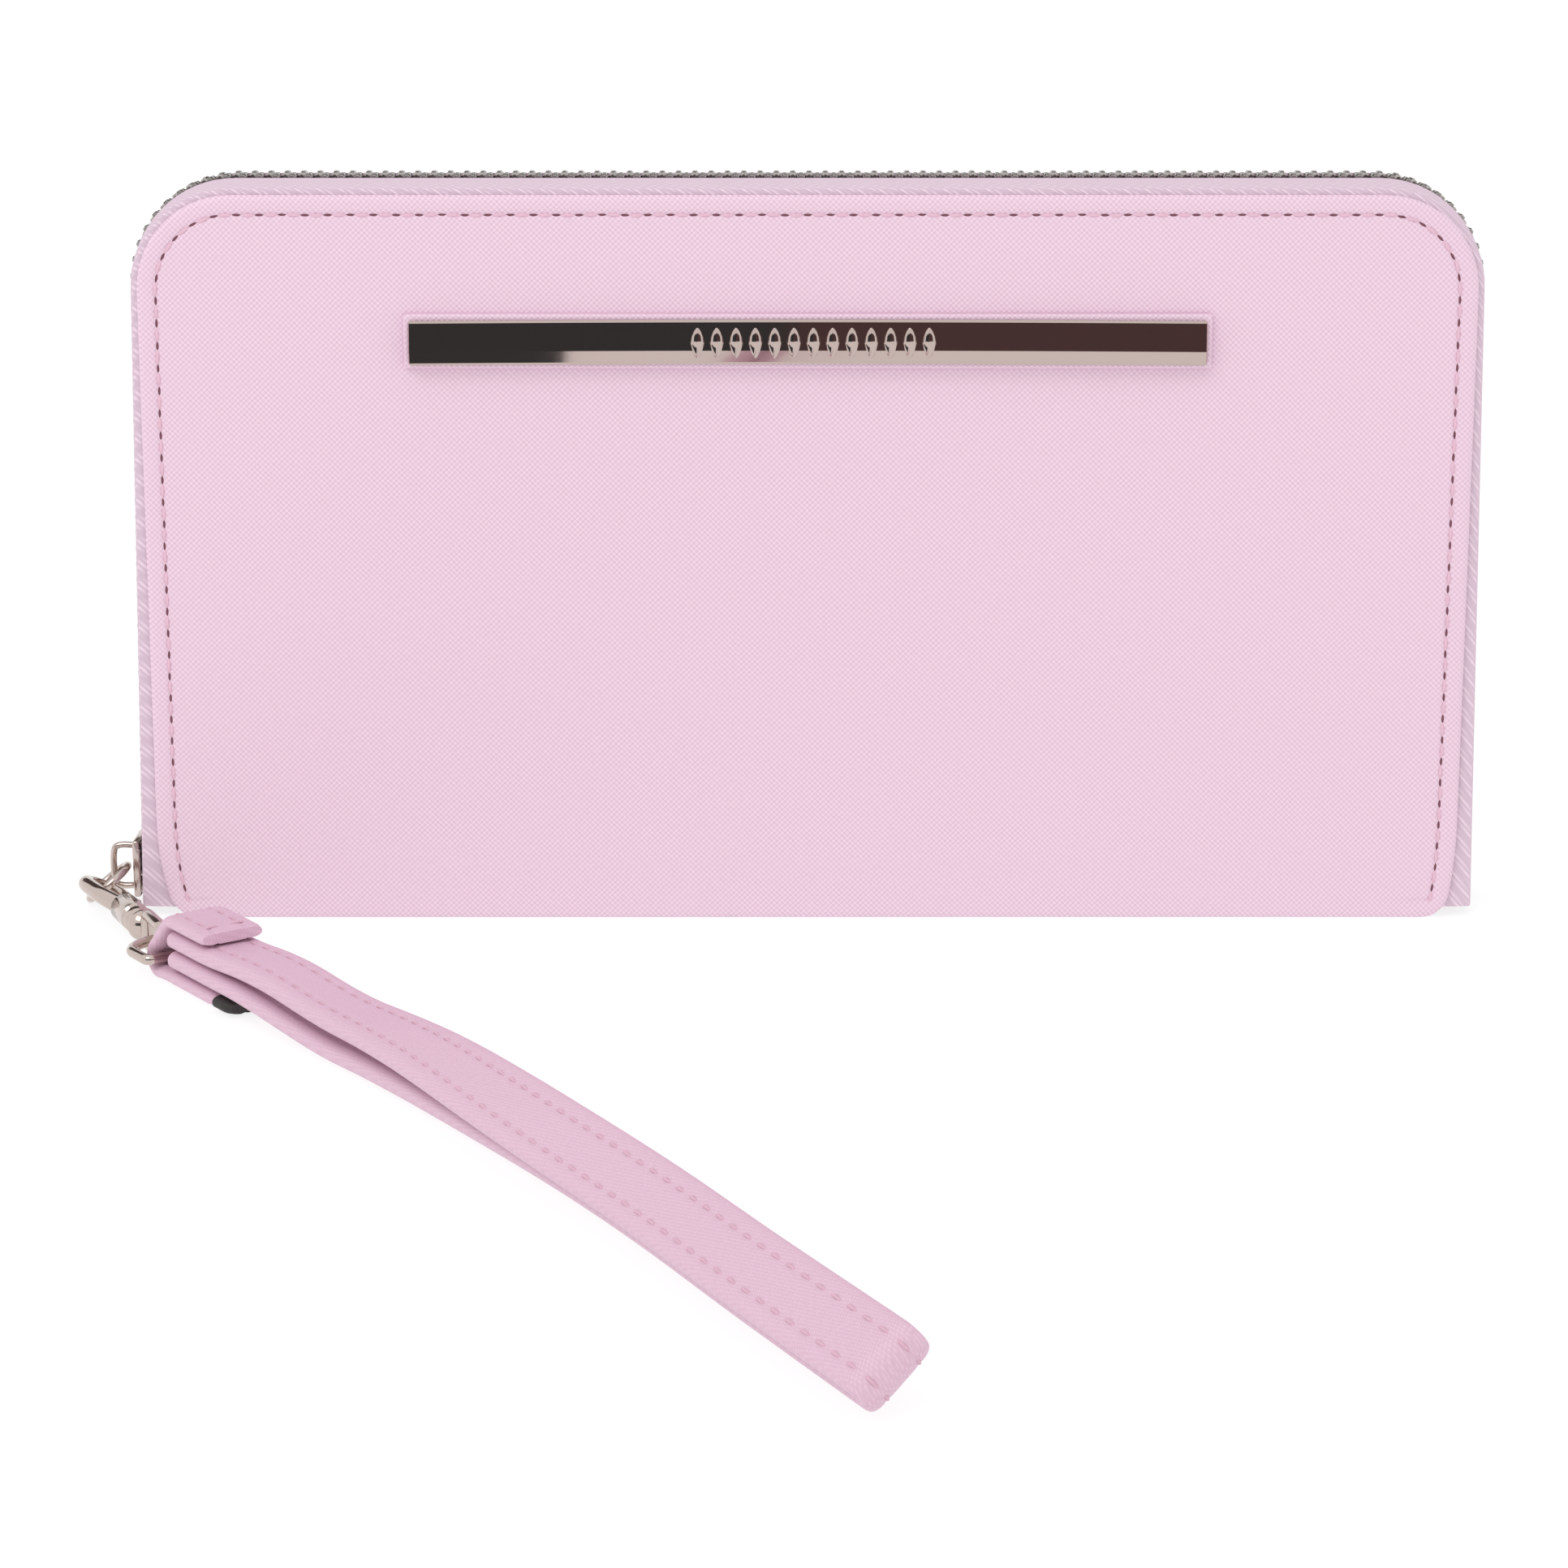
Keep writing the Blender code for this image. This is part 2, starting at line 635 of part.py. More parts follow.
def smooth_route(points, steps):
    """Points on a smooth curve through the given ones, evenly spaced by index."""
    ends = [2 * points[0] - points[1]] + points + [2 * points[-1] - points[-2]]
    out = []
    for k in range(len(points) - 1):
        a, b, c, d = ends[k:k + 4]
        for i in range(steps):
            t = i / steps
            out.append(0.5 * (2 * b + (c - a) * t + (2 * a - 5 * b + 4 * c - d) * t * t
                              + (3 * b - a - 3 * c + d) * t ** 3))
    out.append(points[-1])
    return out


def wrist_strap(bar):
    """The strap's two runs and the fold at their far end, as one lofted band."""
    heading = Vector((math.cos(D_HEADING), math.sin(D_HEADING), 0.0))
    first = Vector((bar.x, bar.y, 0.0)) + heading * STRAP_START
    plan = [first] + [Vector((x * MM, y * MM, 0.0)) for x, y in STRAP_ROUTE]
    route = smooth_route(plan, 4)
    last = len(route) - 1
    frames = []
    travelled = 0.0
    for i, place in enumerate(route):
        if i:
            travelled += (place - route[i - 1]).length
        along = (route[min(i + 1, last)] - route[max(i - 1, 0)]).normalized()
        flat_across = Vector((-along.y, along.x, 0.0))
        lean = STRAP_LEAN * ease(travelled, 30 * MM, 110 * MM)
        across = flat_across * math.cos(lean) + Vector((0, 0, 1)) * math.sin(lean)
        normal = along.cross(across)
        bed = STRAP_LIFT + (TAB_THICKNESS + FIT_GAP) * (1 - ease(travelled, 16 * MM, 45 * MM))
        rise = (STRAP_WIDTH / 2) * math.sin(lean) + (STRAP_THICKNESS / 2) * math.cos(lean)
        parting = ease(travelled, 8 * MM, 30 * MM) * (1 - ease(travelled, 60 * MM, 120 * MM))
        lower = place + Vector((0, 0, bed + rise))
        upper = lower + normal * (STRAP_THICKNESS + FIT_GAP + STRAP_PARTING * parting)
        frames.append((lower, upper, across, normal, along))
    section = rounded_section(STRAP_WIDTH, STRAP_THICKNESS)
    rings = [[low + a * x + n * y for x, y in section] for low, up, a, n, t in frames]
    low, up, a, n, t = frames[-1]
    centre, radius = (low + up) / 2, (up - low).length / 2
    for i in range(1, FOLD_STEPS):
        angle = math.pi * i / FOLD_STEPS
        out = -math.cos(angle) * n + math.sin(angle) * t
        rings.append([centre + out * (radius - y) + a * x for x, y in section])
    rings += [[up + a * x - n * y for x, y in section] for low, up, a, n, t in reversed(frames)]
    return leather(loft("wrist_strap", rings))


def anchor_tab(frame, floor):
    """The tab: close round the D-ring's bar, then one leaf over and one under the strap's ends."""
    bottom = floor + STRAP_LIFT + TAB_THICKNESS / 2
    top = bottom + TAB_THICKNESS + 2 * STRAP_THICKNESS + 3 * FIT_GAP
    bottom_end = TAB_BOTTOM_LEAF - TAB_END_CAP - FIT_GAP
    nose = arc((0.0, 0.0), TAB_NOSE, 270, 135, 9)
    start = nose[-1]
    bend_x = start[0] + (top - start[1]) + TAB_BEND * math.tan(math.radians(22.5))
    line = [(bottom_end, bottom), (bottom_end / 2, bottom), (TAB_NOSE, bottom)] + nose
    line += arc((bend_x, top - TAB_BEND), TAB_BEND, 135, 90, 4)
    line += [(TAB_TOP_LEAF / 2, top), (TAB_TOP_LEAF, top)]
    centre = [Vector((x, 0.0, z)) for x, z in line]
    section = rounded_section(STRAP_WIDTH, TAB_THICKNESS)
    rings = []
    for i, place in enumerate(centre):
        along = (centre[min(i + 1, len(centre) - 1)] - centre[max(i - 1, 0)]).normalized()
        normal = along.cross(Vector((0, 1, 0)))
        rings.append([place + Vector((0, x, 0)) + normal * y for x, y in section])
    leather(loft("strap_anchor_tab", rings, frame))
    cap_rings = []
    for x in (TAB_BOTTOM_LEAF - TAB_END_CAP, TAB_BOTTOM_LEAF):
        cap_rings.append([Vector((x, y, bottom + z)) for y, z in section])
    finish(loft("strap_end_cap", cap_rings, frame), BLACK, 0.7)


def clip_and_strap():
    heading = Matrix.Rotation(CLIP_HEADING, 4, "Z")
    rim = heading @ Vector((HOOK_RIM_TO_RING, 0, 0))
    clip_frame = empty("clip_frame", Matrix.Translation(ring_front() - rim) @ heading)
    clip(clip_frame)
    crossing = clip_frame.matrix_world @ Vector((D_CROSSING, 0, 0))
    ring_turn = Matrix.Rotation(D_HEADING, 4, "Z")
    ring_frame = empty("d_ring_frame", Matrix.Translation(crossing) @ ring_turn)
    d_ring(ring_frame)
    bar = ring_frame.matrix_world @ Vector((D_DEPTH, 0, 0))
    tab_frame = empty("tab_frame", Matrix.Translation(bar) @ ring_turn)
    anchor_tab(tab_frame, -bar.z)
    hang([wrist_strap(bar)], "strap_hinge", bar)


def back_half():
    """Everything of the back cover hangs on the fold along the outer bottom edge."""
    pieces = [obj for obj in COLLECTION.objects if obj.name.startswith("back_")]
    hang(pieces, "back_cover_fold", (0.0, WALLET_HALF_DEPTH, 0.0))


def build():
    start_scene()
    for side, facing in (("front", -1), ("back", 1)):
        cover_layers(side, facing)
    spine()
    zip_halves()
    back_half()
    zip_stops()
    name_bar()
    gussets()
    coin_pocket()
    slider()
    pull_ring()
    clip_and_strap()


build()
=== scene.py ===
"""Wristlet wallet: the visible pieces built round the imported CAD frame, with studio and camera.

Metres. The wallet stands on its spine, its front cover faces -Y, +Z is up and the origin is the
centre of the spine's underside. Every piece rides on the CAD body that it belongs to.
"""

import bisect
import math

import bmesh
import bpy
from mathutils import Matrix, Vector


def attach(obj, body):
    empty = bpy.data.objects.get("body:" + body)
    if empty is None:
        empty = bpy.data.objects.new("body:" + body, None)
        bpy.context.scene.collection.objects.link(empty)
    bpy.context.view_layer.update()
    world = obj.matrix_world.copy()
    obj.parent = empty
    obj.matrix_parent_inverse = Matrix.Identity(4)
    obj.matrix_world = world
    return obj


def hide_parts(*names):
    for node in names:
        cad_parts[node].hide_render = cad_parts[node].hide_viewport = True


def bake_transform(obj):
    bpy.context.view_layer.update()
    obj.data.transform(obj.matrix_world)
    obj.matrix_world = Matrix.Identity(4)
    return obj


MM = 0.001
Y_AXIS = Vector((0, 1, 0))
Z_AXIS = Vector((0, 0, 1))

# The wallet's own dimensions, the same as in the CAD part.
HALF_WIDTH = 97.5 * MM
HEIGHT = 109.0 * MM
HALF_DEPTH = 11.0 * MM
TOP_CORNER = 14.0 * MM
FOOT_CORNER = 3.5 * MM
GAP = 0.3 * MM
SKIN = 0.9 * MM
TAPE = 0.4 * MM
LINING_INSET = 2.6 * MM
LINING_DEPTH = 7.7 * MM
LINING = 0.4 * MM
POCKET_DEPTH = 7.0 * MM
POCKET = 0.4 * MM
POCKET_PITCH = 0.7 * MM
POCKET_TOP = 92.0 * MM
POCKET_STEP = 15.0 * MM
POCKET_HALF_WIDTH = 87.0 * MM
POCKETS_PER_COVER = 3
POCKET_FLOOR = 3.6 * MM
GUSSET_TOP = 84.0 * MM
CHAIN_OFFSET = 1.5 * MM
CHAIN_FAR = 2.9 * MM
ZIP_START = 1.5 * MM
ZIP_FLARE = 2.2 * MM
CHAIN_INNER = 0.8 * MM
TEETH_PARTING = 1.2 * MM

BAR_HALF_LENGTH = 58.0 * MM
BAR_HALF_HEIGHT = 3.2 * MM
BAR_HEIGHT = 88.0 * MM
BAR_BACK = 12.4 * MM
BAR_FRONT = 13.7 * MM
LOZENGE_PITCH = 2.8 * MM

SPINE_INSET = 4.4 * MM

COIN_HALF_WIDTH = 84.0 * MM
COIN_TOP = 88.0 * MM

SLIDER_HALF_WIDTH = 3.6 * MM
SLIDER_LOW = 1.0 * MM
SLIDER_LENGTH = 9.0 * MM
SLIDER_FACE = 103.2 * MM
SLIDER_DEPTH = 3.9 * MM
POST_LENGTH = 2.4 * MM
RING_RADIUS = 3.8 * MM
RING_WIRE = 0.62 * MM
BRIDGE_REACH = 3.2 * MM
BRIDGE_WIRE = 0.5 * MM
BRIDGE_CROSSING = Vector((-104.9 * MM, 0.0, 5.1 * MM))
RING_LEAN = Vector((-0.60, -0.62, -0.50)).normalized()

CLIP_HEADING = math.radians(-64.0)
CLIP_ROLL = math.radians(-25.0)
HOOK_RIM_TO_RING = 3.0 * MM
HOOK_RADIUS = 4.0 * MM
HOOK_WIRE = 1.35 * MM
HOOK_TAPER = 0.6 * MM
BARREL_START = 13.0 * MM
BARREL_END = 22.5 * MM
BARREL_RADIUS = 2.2 * MM
COLLAR_RADIUS = 2.4 * MM
EYE_START = 24.5 * MM
EYE_LENGTH = 9.5 * MM
EYE_HALF_HEIGHT = 3.1 * MM
D_CROSSING = 31.2 * MM
D_HEADING = math.radians(-54.0)
D_DEPTH = 8.2 * MM
D_HALF_WIDTH = 6.0 * MM
D_STRAIGHT = 4.4 * MM

STRAP_WIDTH = 9.8 * MM
STRAP_THICKNESS = 2.7 * MM
STRAP_ROUTE = [(-75, -58.5), (-56, -82), (-38, -109), (-20, -138), (-5, -165), (8, -188)]
STRAP_LEAN = math.radians(40.0)
STRAP_LIFT = 0.3 * MM
STRAP_START = 4.2 * MM
STRAP_PARTING = 1.2 * MM
TAB_THICKNESS = 2.0 * MM
TAB_TOP_LEAF = 15.0 * MM
TAB_BOTTOM_LEAF = 22.0 * MM
TAB_END_CAP = 4.5 * MM
TAB_NOSE = 2.1 * MM
TAB_BEND = 2.5 * MM

# How the soft surfaces are shaped.
RIM_RADIUS = 0.8 * MM
RIM_PAD = 0.14 * MM
GROOVE_INSET = 2.8 * MM
GROOVE_DEPTH = 0.24 * MM
GROOVE_WIDTH = 0.35 * MM
SKIN_FLARE = 0.7 * MM
TUCK = 2.6 * MM
FAR_TUCK = 1.5 * MM
TUCK_HEIGHT = 15.0 * MM
STITCH_PITCH = 3.3 * MM
STITCH_LENGTH = 2.1 * MM
STITCH_ROW = 0.26
STITCH_WAVER = 0.10 * MM
TOOTH_PITCH = 2.4 * MM

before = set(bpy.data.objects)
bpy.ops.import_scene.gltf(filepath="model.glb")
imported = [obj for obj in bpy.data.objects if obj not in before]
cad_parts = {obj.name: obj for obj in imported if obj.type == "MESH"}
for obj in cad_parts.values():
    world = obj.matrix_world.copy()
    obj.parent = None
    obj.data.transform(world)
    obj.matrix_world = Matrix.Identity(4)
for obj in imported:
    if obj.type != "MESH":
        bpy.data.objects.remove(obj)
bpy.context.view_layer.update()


# Shapes.


def arc(centre, radius, start, end, steps):
    """Points along an arc in a plane, angles in degrees."""
    points = []
    for i in range(steps + 1):
        angle = math.radians(start + (end - start) * i / steps)
        points.append((centre[0] + radius * math.cos(angle), centre[1] + radius * math.sin(angle)))
    return points


def ease(value, low, high):
    t = min(max((value - low) / (high - low), 0.0), 1.0)
    return t * t * (3 - 2 * t)


def smooth_route(points, steps):
    """Points on a smooth curve through the given ones."""
    ends = [2 * points[0] - points[1]] + points + [2 * points[-1] - points[-2]]
    out = []
    for k in range(len(points) - 1):
        a, b, c, d = ends[k:k + 4]
        for i in range(steps):
            t = i / steps
            out.append(0.5 * (2 * b + (c - a) * t + (2 * a - 5 * b + 4 * c - d) * t * t
                              + (3 * b - a - 3 * c + d) * t ** 3))
    out.append(points[-1])
    return out


class Trail:
    """A path with a normal at each point, read by the distance along it."""

    def __init__(self, points, normals):
        self.points = points
        self.normals = normals
        self.marks = [0.0]
        for a, b in zip(points, points[1:]):
            self.marks.append(self.marks[-1] + (b - a).length)
        self.length = self.marks[-1]

    def at(self, distance):
        k = min(max(bisect.bisect_right(self.marks, distance), 1), len(self.marks) - 1)
        share = (distance - self.marks[k - 1]) / (self.marks[k] - self.marks[k - 1])
        place = self.points[k - 1].lerp(self.points[k], share)
        return place, self.normals[k - 1].lerp(self.normals[k], share).normalized()


class Shape:
    """One or more closed forms gathered into a single mesh."""

    def __init__(self):
        self.form = bmesh.new()

    def skin(self, rings, closed=False):
        """A surface over rings of points, capped at both ends unless it closes on itself."""
        rows = [[self.form.verts.new(point) for point in ring] for ring in rings]
        count = len(rows[0])
        pairs = list(zip(rows, rows[1:]))
        if closed:
            pairs.append((rows[-1], rows[0]))
        for near, far in pairs:
            for i in range(count):
                j = (i + 1) % count
                self.form.faces.new((near[i], near[j], far[j], far[i]))
        if not closed:
            self.form.faces.new(rows[0])
            self.form.faces.new(rows[-1])
        return self

    def tube(self, points, radii, sides=12, closed=False, up=Z_AXIS, flat=1.0):
        """A wire through points. flat is its thickness along up as a share of its width."""
        last = len(points) - 1
        rings = []
        for i, place in enumerate(points):
            if closed:
                along = points[(i + 1) % len(points)] - points[i - 1]
            else:
                along = points[min(i + 1, last)] - points[max(i - 1, 0)]
            side = along.cross(up).normalized()
            rise = side.cross(along).normalized()
            radius = radii[i] if isinstance(radii, list) else radii
            ring = []
            for k in range(sides):
                angle = math.tau * k / sides
                ring.append(place + side * (radius * math.cos(angle))
                            + rise * (radius * flat * math.sin(angle)))
            rings.append(ring)
        return self.skin(rings, closed)

    def turned(self, profile, sides=32):
        """A solid turned about local X from a profile of (distance along X, radius)."""
        rings = []
        for x, radius in profile:
            ring = []
            for k in range(sides):
                angle = math.tau * k / sides
                ring.append(Vector((x, radius * math.cos(angle), radius * math.sin(angle))))
            rings.append(ring)
        return self.skin(rings)

    def box(self, low, high, radius, segments=3):
        """A box between two corners with rounded edges."""
        size = Vector(high) - Vector(low)
        middle = (Vector(high) + Vector(low)) / 2
        matrix = Matrix.Translation(middle) @ Matrix.Diagonal((*size, 1.0))
        made = bmesh.ops.create_cube(self.form, size=1.0, matrix=matrix)
        edges = list(dict.fromkeys(edge for vert in made["verts"] for edge in vert.link_edges))
        bmesh.ops.bevel(self.form, geom=edges, offset=radius, segments=segments,
                        profile=0.5, affect="EDGES")
        return self

    def place(self, matrix):
        bmesh.ops.transform(self.form, matrix=matrix, verts=self.form.verts)
        return self

    def finish(self, name, body, paint, replaces=(), sharp=40.0):
        """Make the object, with its material, riding on a body."""
        material, slot = paint
        bmesh.ops.recalc_face_normals(self.form, faces=self.form.faces)
        mesh = bpy.data.meshes.new(name)
        self.form.to_mesh(mesh)
        self.form.free()
        mesh.shade_smooth()
        mesh.set_sharp_from_angle(angle=math.radians(sharp))
        mesh.materials.append(material)
        obj = bpy.data.objects.new(name, mesh)
        bpy.context.scene.collection.objects.link(obj)
        if body:
            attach(obj, body)
        if replaces:
            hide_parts(*replaces)
        return obj


# Materials.


def linear(red, green, blue):
    """A display colour from 0 to 255 as linear light."""
    out = []
    for value in (red, green, blue):
        share = value / 255
        out.append(share / 12.92 if share <= 0.04045 else ((share + 0.055) / 1.055) ** 2.4)
    return (*out, 1.0)


class Paint:
    """A Principled material, with helpers for its procedural texture."""

    def __init__(self, name, colour, roughness, metallic=0.0):
        self.material = bpy.data.materials.new(name)
        self.material.use_nodes = True
        self.tree = self.material.node_tree
        self.shader = self.tree.nodes["Principled BSDF"]
        self.shader.inputs["Base Color"].default_value = colour
        self.shader.inputs["Roughness"].default_value = roughness
        self.shader.inputs["Metallic"].default_value = metallic

    def calculate(self, operation, *values):
        node = self.tree.nodes.new("ShaderNodeMath")
        node.operation = operation
        for socket, value in zip(node.inputs, values):
            if isinstance(value, (int, float)):
                socket.default_value = value
            else:
                self.tree.links.new(value, socket)
        return node.outputs[0]

    def place(self):
        return self.tree.nodes.new("ShaderNodeTexCoord").outputs["Object"]

    def ridges(self, direction, pitch):
        """Parallel ridges across the piece, from 0 in the valleys to 1 on top."""
        node = self.tree.nodes.new("ShaderNodeVectorMath")
        node.operation = "DOT_PRODUCT"
        node.inputs[1].default_value = Vector(direction).normalized() * (math.tau / pitch)
        self.tree.links.new(self.place(), node.inputs[0])
        wave = self.calculate("SINE", node.outputs["Value"])
        return self.calculate("MULTIPLY_ADD", wave, 0.5, 0.5)

    def noise(self, size, detail=2.0):
        node = self.tree.nodes.new("ShaderNodeTexNoise")
        node.inputs["Scale"].default_value = 1.0 / size
        node.inputs["Detail"].default_value = detail
        self.tree.links.new(self.place(), node.inputs["Vector"])
        return node.outputs["Fac"]

    def tint(self, height, low, high):
        """Colour from low in the valleys to high on the tops of a height."""
        node = self.tree.nodes.new("ShaderNodeMix")
        node.data_type = "RGBA"
        self.tree.links.new(height, node.inputs["Factor"])
        node.inputs["A"].default_value = low
        node.inputs["B"].default_value = high
        self.tree.links.new(node.outputs["Result"], self.shader.inputs["Base Color"])

    def emboss(self, height, depth, strength=1.0):
        node = self.tree.nodes.new("ShaderNodeBump")
        node.inputs["Strength"].default_value = strength
        node.inputs["Distance"].default_value = depth
        self.tree.links.new(height, node.inputs["Height"])
        self.tree.links.new(node.outputs["Normal"], self.shader.inputs["Normal"])


def saffiano():
    paint = Paint("saffiano_leather", linear(233, 203, 219), 0.52)
    rising = paint.ridges((1.0, 0.35, 1.0), 0.56 * MM)
    falling = paint.ridges((1.0, 0.35, -1.0), 0.56 * MM)
    height = paint.calculate("MULTIPLY_ADD", paint.calculate("ADD", rising, falling), 0.5, 0.0)
    paint.tint(height, linear(217, 183, 202), linear(240, 213, 229))
    paint.emboss(height, 0.10 * MM, 0.8)
    return paint.material


def strap_leather():
    paint = Paint("strap_leather", linear(231, 200, 216), 0.5)
    first = paint.ridges((1.0, 1.0, 0.6), 0.42 * MM)
    second = paint.ridges((1.0, -1.0, 0.6), 0.42 * MM)
    grain = paint.noise(0.35 * MM)
    height = paint.calculate("ADD", paint.calculate("MULTIPLY", first, second), grain)
    height = paint.calculate("MULTIPLY", height, 0.5)
    paint.tint(height, linear(206, 168, 188), linear(228, 196, 213))
    paint.emboss(height, 0.07 * MM, 0.6)
    return paint.material


def cloth(name, dark, light, pitch, directions, roughness):
    paint = Paint(name, light, roughness)
    height = paint.calculate("MULTIPLY", *[paint.ridges(way, pitch) for way in directions])
    paint.tint(height, dark, light)
    paint.emboss(height, 0.12 * MM, 0.7)
    return paint.material


def grained(name, dark, light, size, roughness, depth=0.05 * MM):
    paint = Paint(name, light, roughness)
    height = paint.noise(size)
    paint.tint(height, dark, light)
    paint.emboss(height, depth, 0.5)
    return paint.material


def metal(name, colour, roughness):
    paint = Paint(name, colour, roughness, 1.0)
    paint.emboss(paint.noise(3.0 * MM), 0.01 * MM, 0.2)
    return paint.material


LEATHER = (saffiano(), "leather_saffiano")
STRAP_LEATHER = (strap_leather(), "leather_strap")
THREAD = (grained("pink_thread", linear(216, 172, 190), linear(230, 196, 211), 0.2 * MM, 0.6),
          "leather_saffiano")
# Needle holes: dark brown marks laid on the surface as painted shade where the holes are, though the slot is
# called edge_paint.
NEEDLE_HOLE_SHADE = (grained("needle_hole_painted_shade", linear(96, 54, 66), linear(132, 84, 98), 0.3 * MM, 0.9),
               "edge_paint")
SHADED_THREAD = (grained("shaded_thread", linear(204, 160, 178), linear(220, 182, 198), 0.2 * MM, 0.7),
                 "leather_strap")
TAPE_CLOTH = (cloth("zip_tape_twill", linear(209, 186, 201), linear(239, 216, 230), 0.62 * MM,
                    [(1.0, 0.9, 1.0), (0.2, 1.0, 0.2)], 0.85), "zip_tape")
LINING_CLOTH = (cloth("lining_cloth", linear(206, 176, 190), linear(226, 200, 212), 0.5 * MM,
                      [(1.0, 0.0, 0.0), (0.0, 0.3, 1.0)], 0.85), "lining_fabric")
POCKET_LEATHER = (grained("pocket_leather", linear(222, 186, 203), linear(232, 200, 215),
                          0.6 * MM, 0.55), "pocket_leather")
TEETH = (metal("zip_nickel", (0.44, 0.41, 0.39, 1.0), 0.26), "zip_teeth")
NICKEL = (metal("warm_nickel", (0.58, 0.49, 0.45, 1.0), 0.13), "nickel")
POLISHED = (metal("polished_nickel", (0.53, 0.43, 0.40, 1.0), 0.06), "polished_bar")
GREYBOARD = (grained("greyboard", linear(150, 140, 126), linear(178, 168, 152), 0.4 * MM, 0.95),
             "greyboard")
EDGE_PAINT = (grained("black_edge_paint", linear(30, 26, 27), linear(52, 44, 44), 0.5 * MM, 0.6),
              "edge_paint")


# Stitches.


def stitch_row(trail, thread, hole_shade, start, end, width=0.27 * MM, hole=0.27 * MM, sides=8):
    """Sunk stitches along a trail, with a dark mark of painted shade for the needle hole between each pair.
    """
    count = max(int((end - start) / STITCH_PITCH), 1)
    pitch = (end - start) / count
    length = STITCH_LENGTH * pitch / STITCH_PITCH
    for i in range(count):
        first = start + (i + 0.5) * pitch - length / 2
        points = []
        radii = []
        for k in range(7):
            share = k / 6
            place, normal = trail.at(first + length * share)
            bulge = math.sin(math.pi * share)
            points.append(place + normal * (width * (0.9 * bulge - 0.35)))
            radii.append(width * (0.35 + 0.65 * bulge ** 0.5))
        thread.tube(points, radii, sides, up=trail.at(first)[1], flat=0.8)
        if hole_shade is None or i == count - 1:
            continue
        # A dark mark of painted shade where the needle hole is.
        middle = start + (i + 1) * pitch
        points = []
        radii = []
        for k in range(5):
            share = k / 4
            place, normal = trail.at(middle + (share - 0.5) * 4.6 * hole)
            points.append(place + normal * (0.03 * MM))
            radii.append(hole * (0.15 + 0.85 * math.sin(math.pi * share) ** 0.5))
        hole_shade.tube(points, radii, sides, up=trail.at(middle)[1], flat=0.3)


# Covers.


def tuck(x, z):
    """How far a lower corner is drawn in towards the middle, the left one more than the right."""
    amount = TUCK if x < 0 else -FAR_TUCK
    return amount * max(1 - z / TUCK_HEIGHT, 0.0) ** 2 * (x / HALF_WIDTH) ** 6


def shaped(points, drawn=1.0):
    """Points with the foot a little wider than the top and the corners drawn in by a share."""
    side_top = HEIGHT - TOP_CORNER
    out = []
    for x, z in points:
        wider = SKIN_FLARE * max(1 - z / side_top, 0.0) * (x / HALF_WIDTH) ** 7
        out.append((x + wider + drawn * tuck(x, z), z))
    return out


def outline(inset):
    """The closed outline of a cover drawn in by an inset, with as many points at any inset."""
    half = HALF_WIDTH - inset
    low, high = inset, HEIGHT - inset
    foot = max(FOOT_CORNER - inset, 0.3 * MM)
    top = max(TOP_CORNER - inset, 0.3 * MM)
    runs = [arc((half - foot, low + foot), foot, 270, 360, 5),
            arc((half - top, high - top), top, 0, 90, 14),
            arc((-half + top, high - top), top, 90, 180, 14),
            arc((-half + foot, low + foot), foot, 180, 270, 5)]
    points = []
    for n, run in enumerate(runs):
        points += run
        start, end = run[-1], runs[(n + 1) % len(runs)][0]
        steps = 40
        for i in range(1, steps):
            t = i / steps
            points.append((start[0] + (end[0] - start[0]) * t, start[1] + (end[1] - start[1]) * t))
    return shaped(points)


def edge_path(offset):
    """The open path up the left side, over the top and down the right, outside the edge."""
    half = HALF_WIDTH + offset
    high = HEIGHT + offset
    top = TOP_CORNER + offset
    flare = (ZIP_FLARE - SKIN_FLARE) * ease(offset, 0.0, CHAIN_INNER)
    left = []
    for i in range(40):
        left.append((-half - flare * (1 - i / 40), ZIP_START + (high - top - ZIP_START) * i / 40))
    right = [(-x, z) for x, z in reversed(left)]
    across = [(-half + top + 2 * (half - top) * i / 60, high) for i in range(1, 60)]
    points = left + arc((-half + top, high - top), top, 180, 90, 16) + across
    points += arc((half - top, high - top), top, 90, 0, 16) + right
    return shaped(points, 1 - ease(offset, 0.0, CHAIN_INNER))


def rim_share(x, z, inset):
    """1 where the padded rim and its stitches run, 0 along the plain bottom edge."""
    if z > 9 * MM:
        return 1.0
    side = HALF_WIDTH - inset - (TUCK if x < 0 else FAR_TUCK)
    return ease(abs(x), side - 3 * MM, side - 0.5 * MM)


def skin_depth(x, z, inset):
    """The outer face's distance from the middle: rounded edge, padded rim and stitch groove."""
    if inset < RIM_RADIUS:
        fall = RIM_RADIUS - math.sqrt(RIM_RADIUS ** 2 - (RIM_RADIUS - inset) ** 2)
    else:
        fall = 0.0
    pad = RIM_PAD * math.sin(math.pi * min(inset / GROOVE_INSET, 1.0))
    groove = GROOVE_DEPTH * math.exp(-(((inset - GROOVE_INSET) / GROOVE_WIDTH) ** 2))
    soft = 0.10 * MM * math.sin(x / (31 * MM)) * math.sin(z / (17 * MM)) * ease(inset, 4 * MM, 14 * MM)
    return HALF_DEPTH - fall + (pad - groove) * rim_share(x, z, inset) + soft


def cover_insets():
    rounded = [RIM_RADIUS * (1 - math.cos(math.radians(15 * k))) for k in range(7)]
    rim = [RIM_RADIUS + 0.2 * MM * k for k in range(1, 21)]
    inner = [6 * MM, 9 * MM, 14 * MM, 20 * MM, 27 * MM, 34 * MM, 41 * MM, 47 * MM]
    return rounded + rim + inner


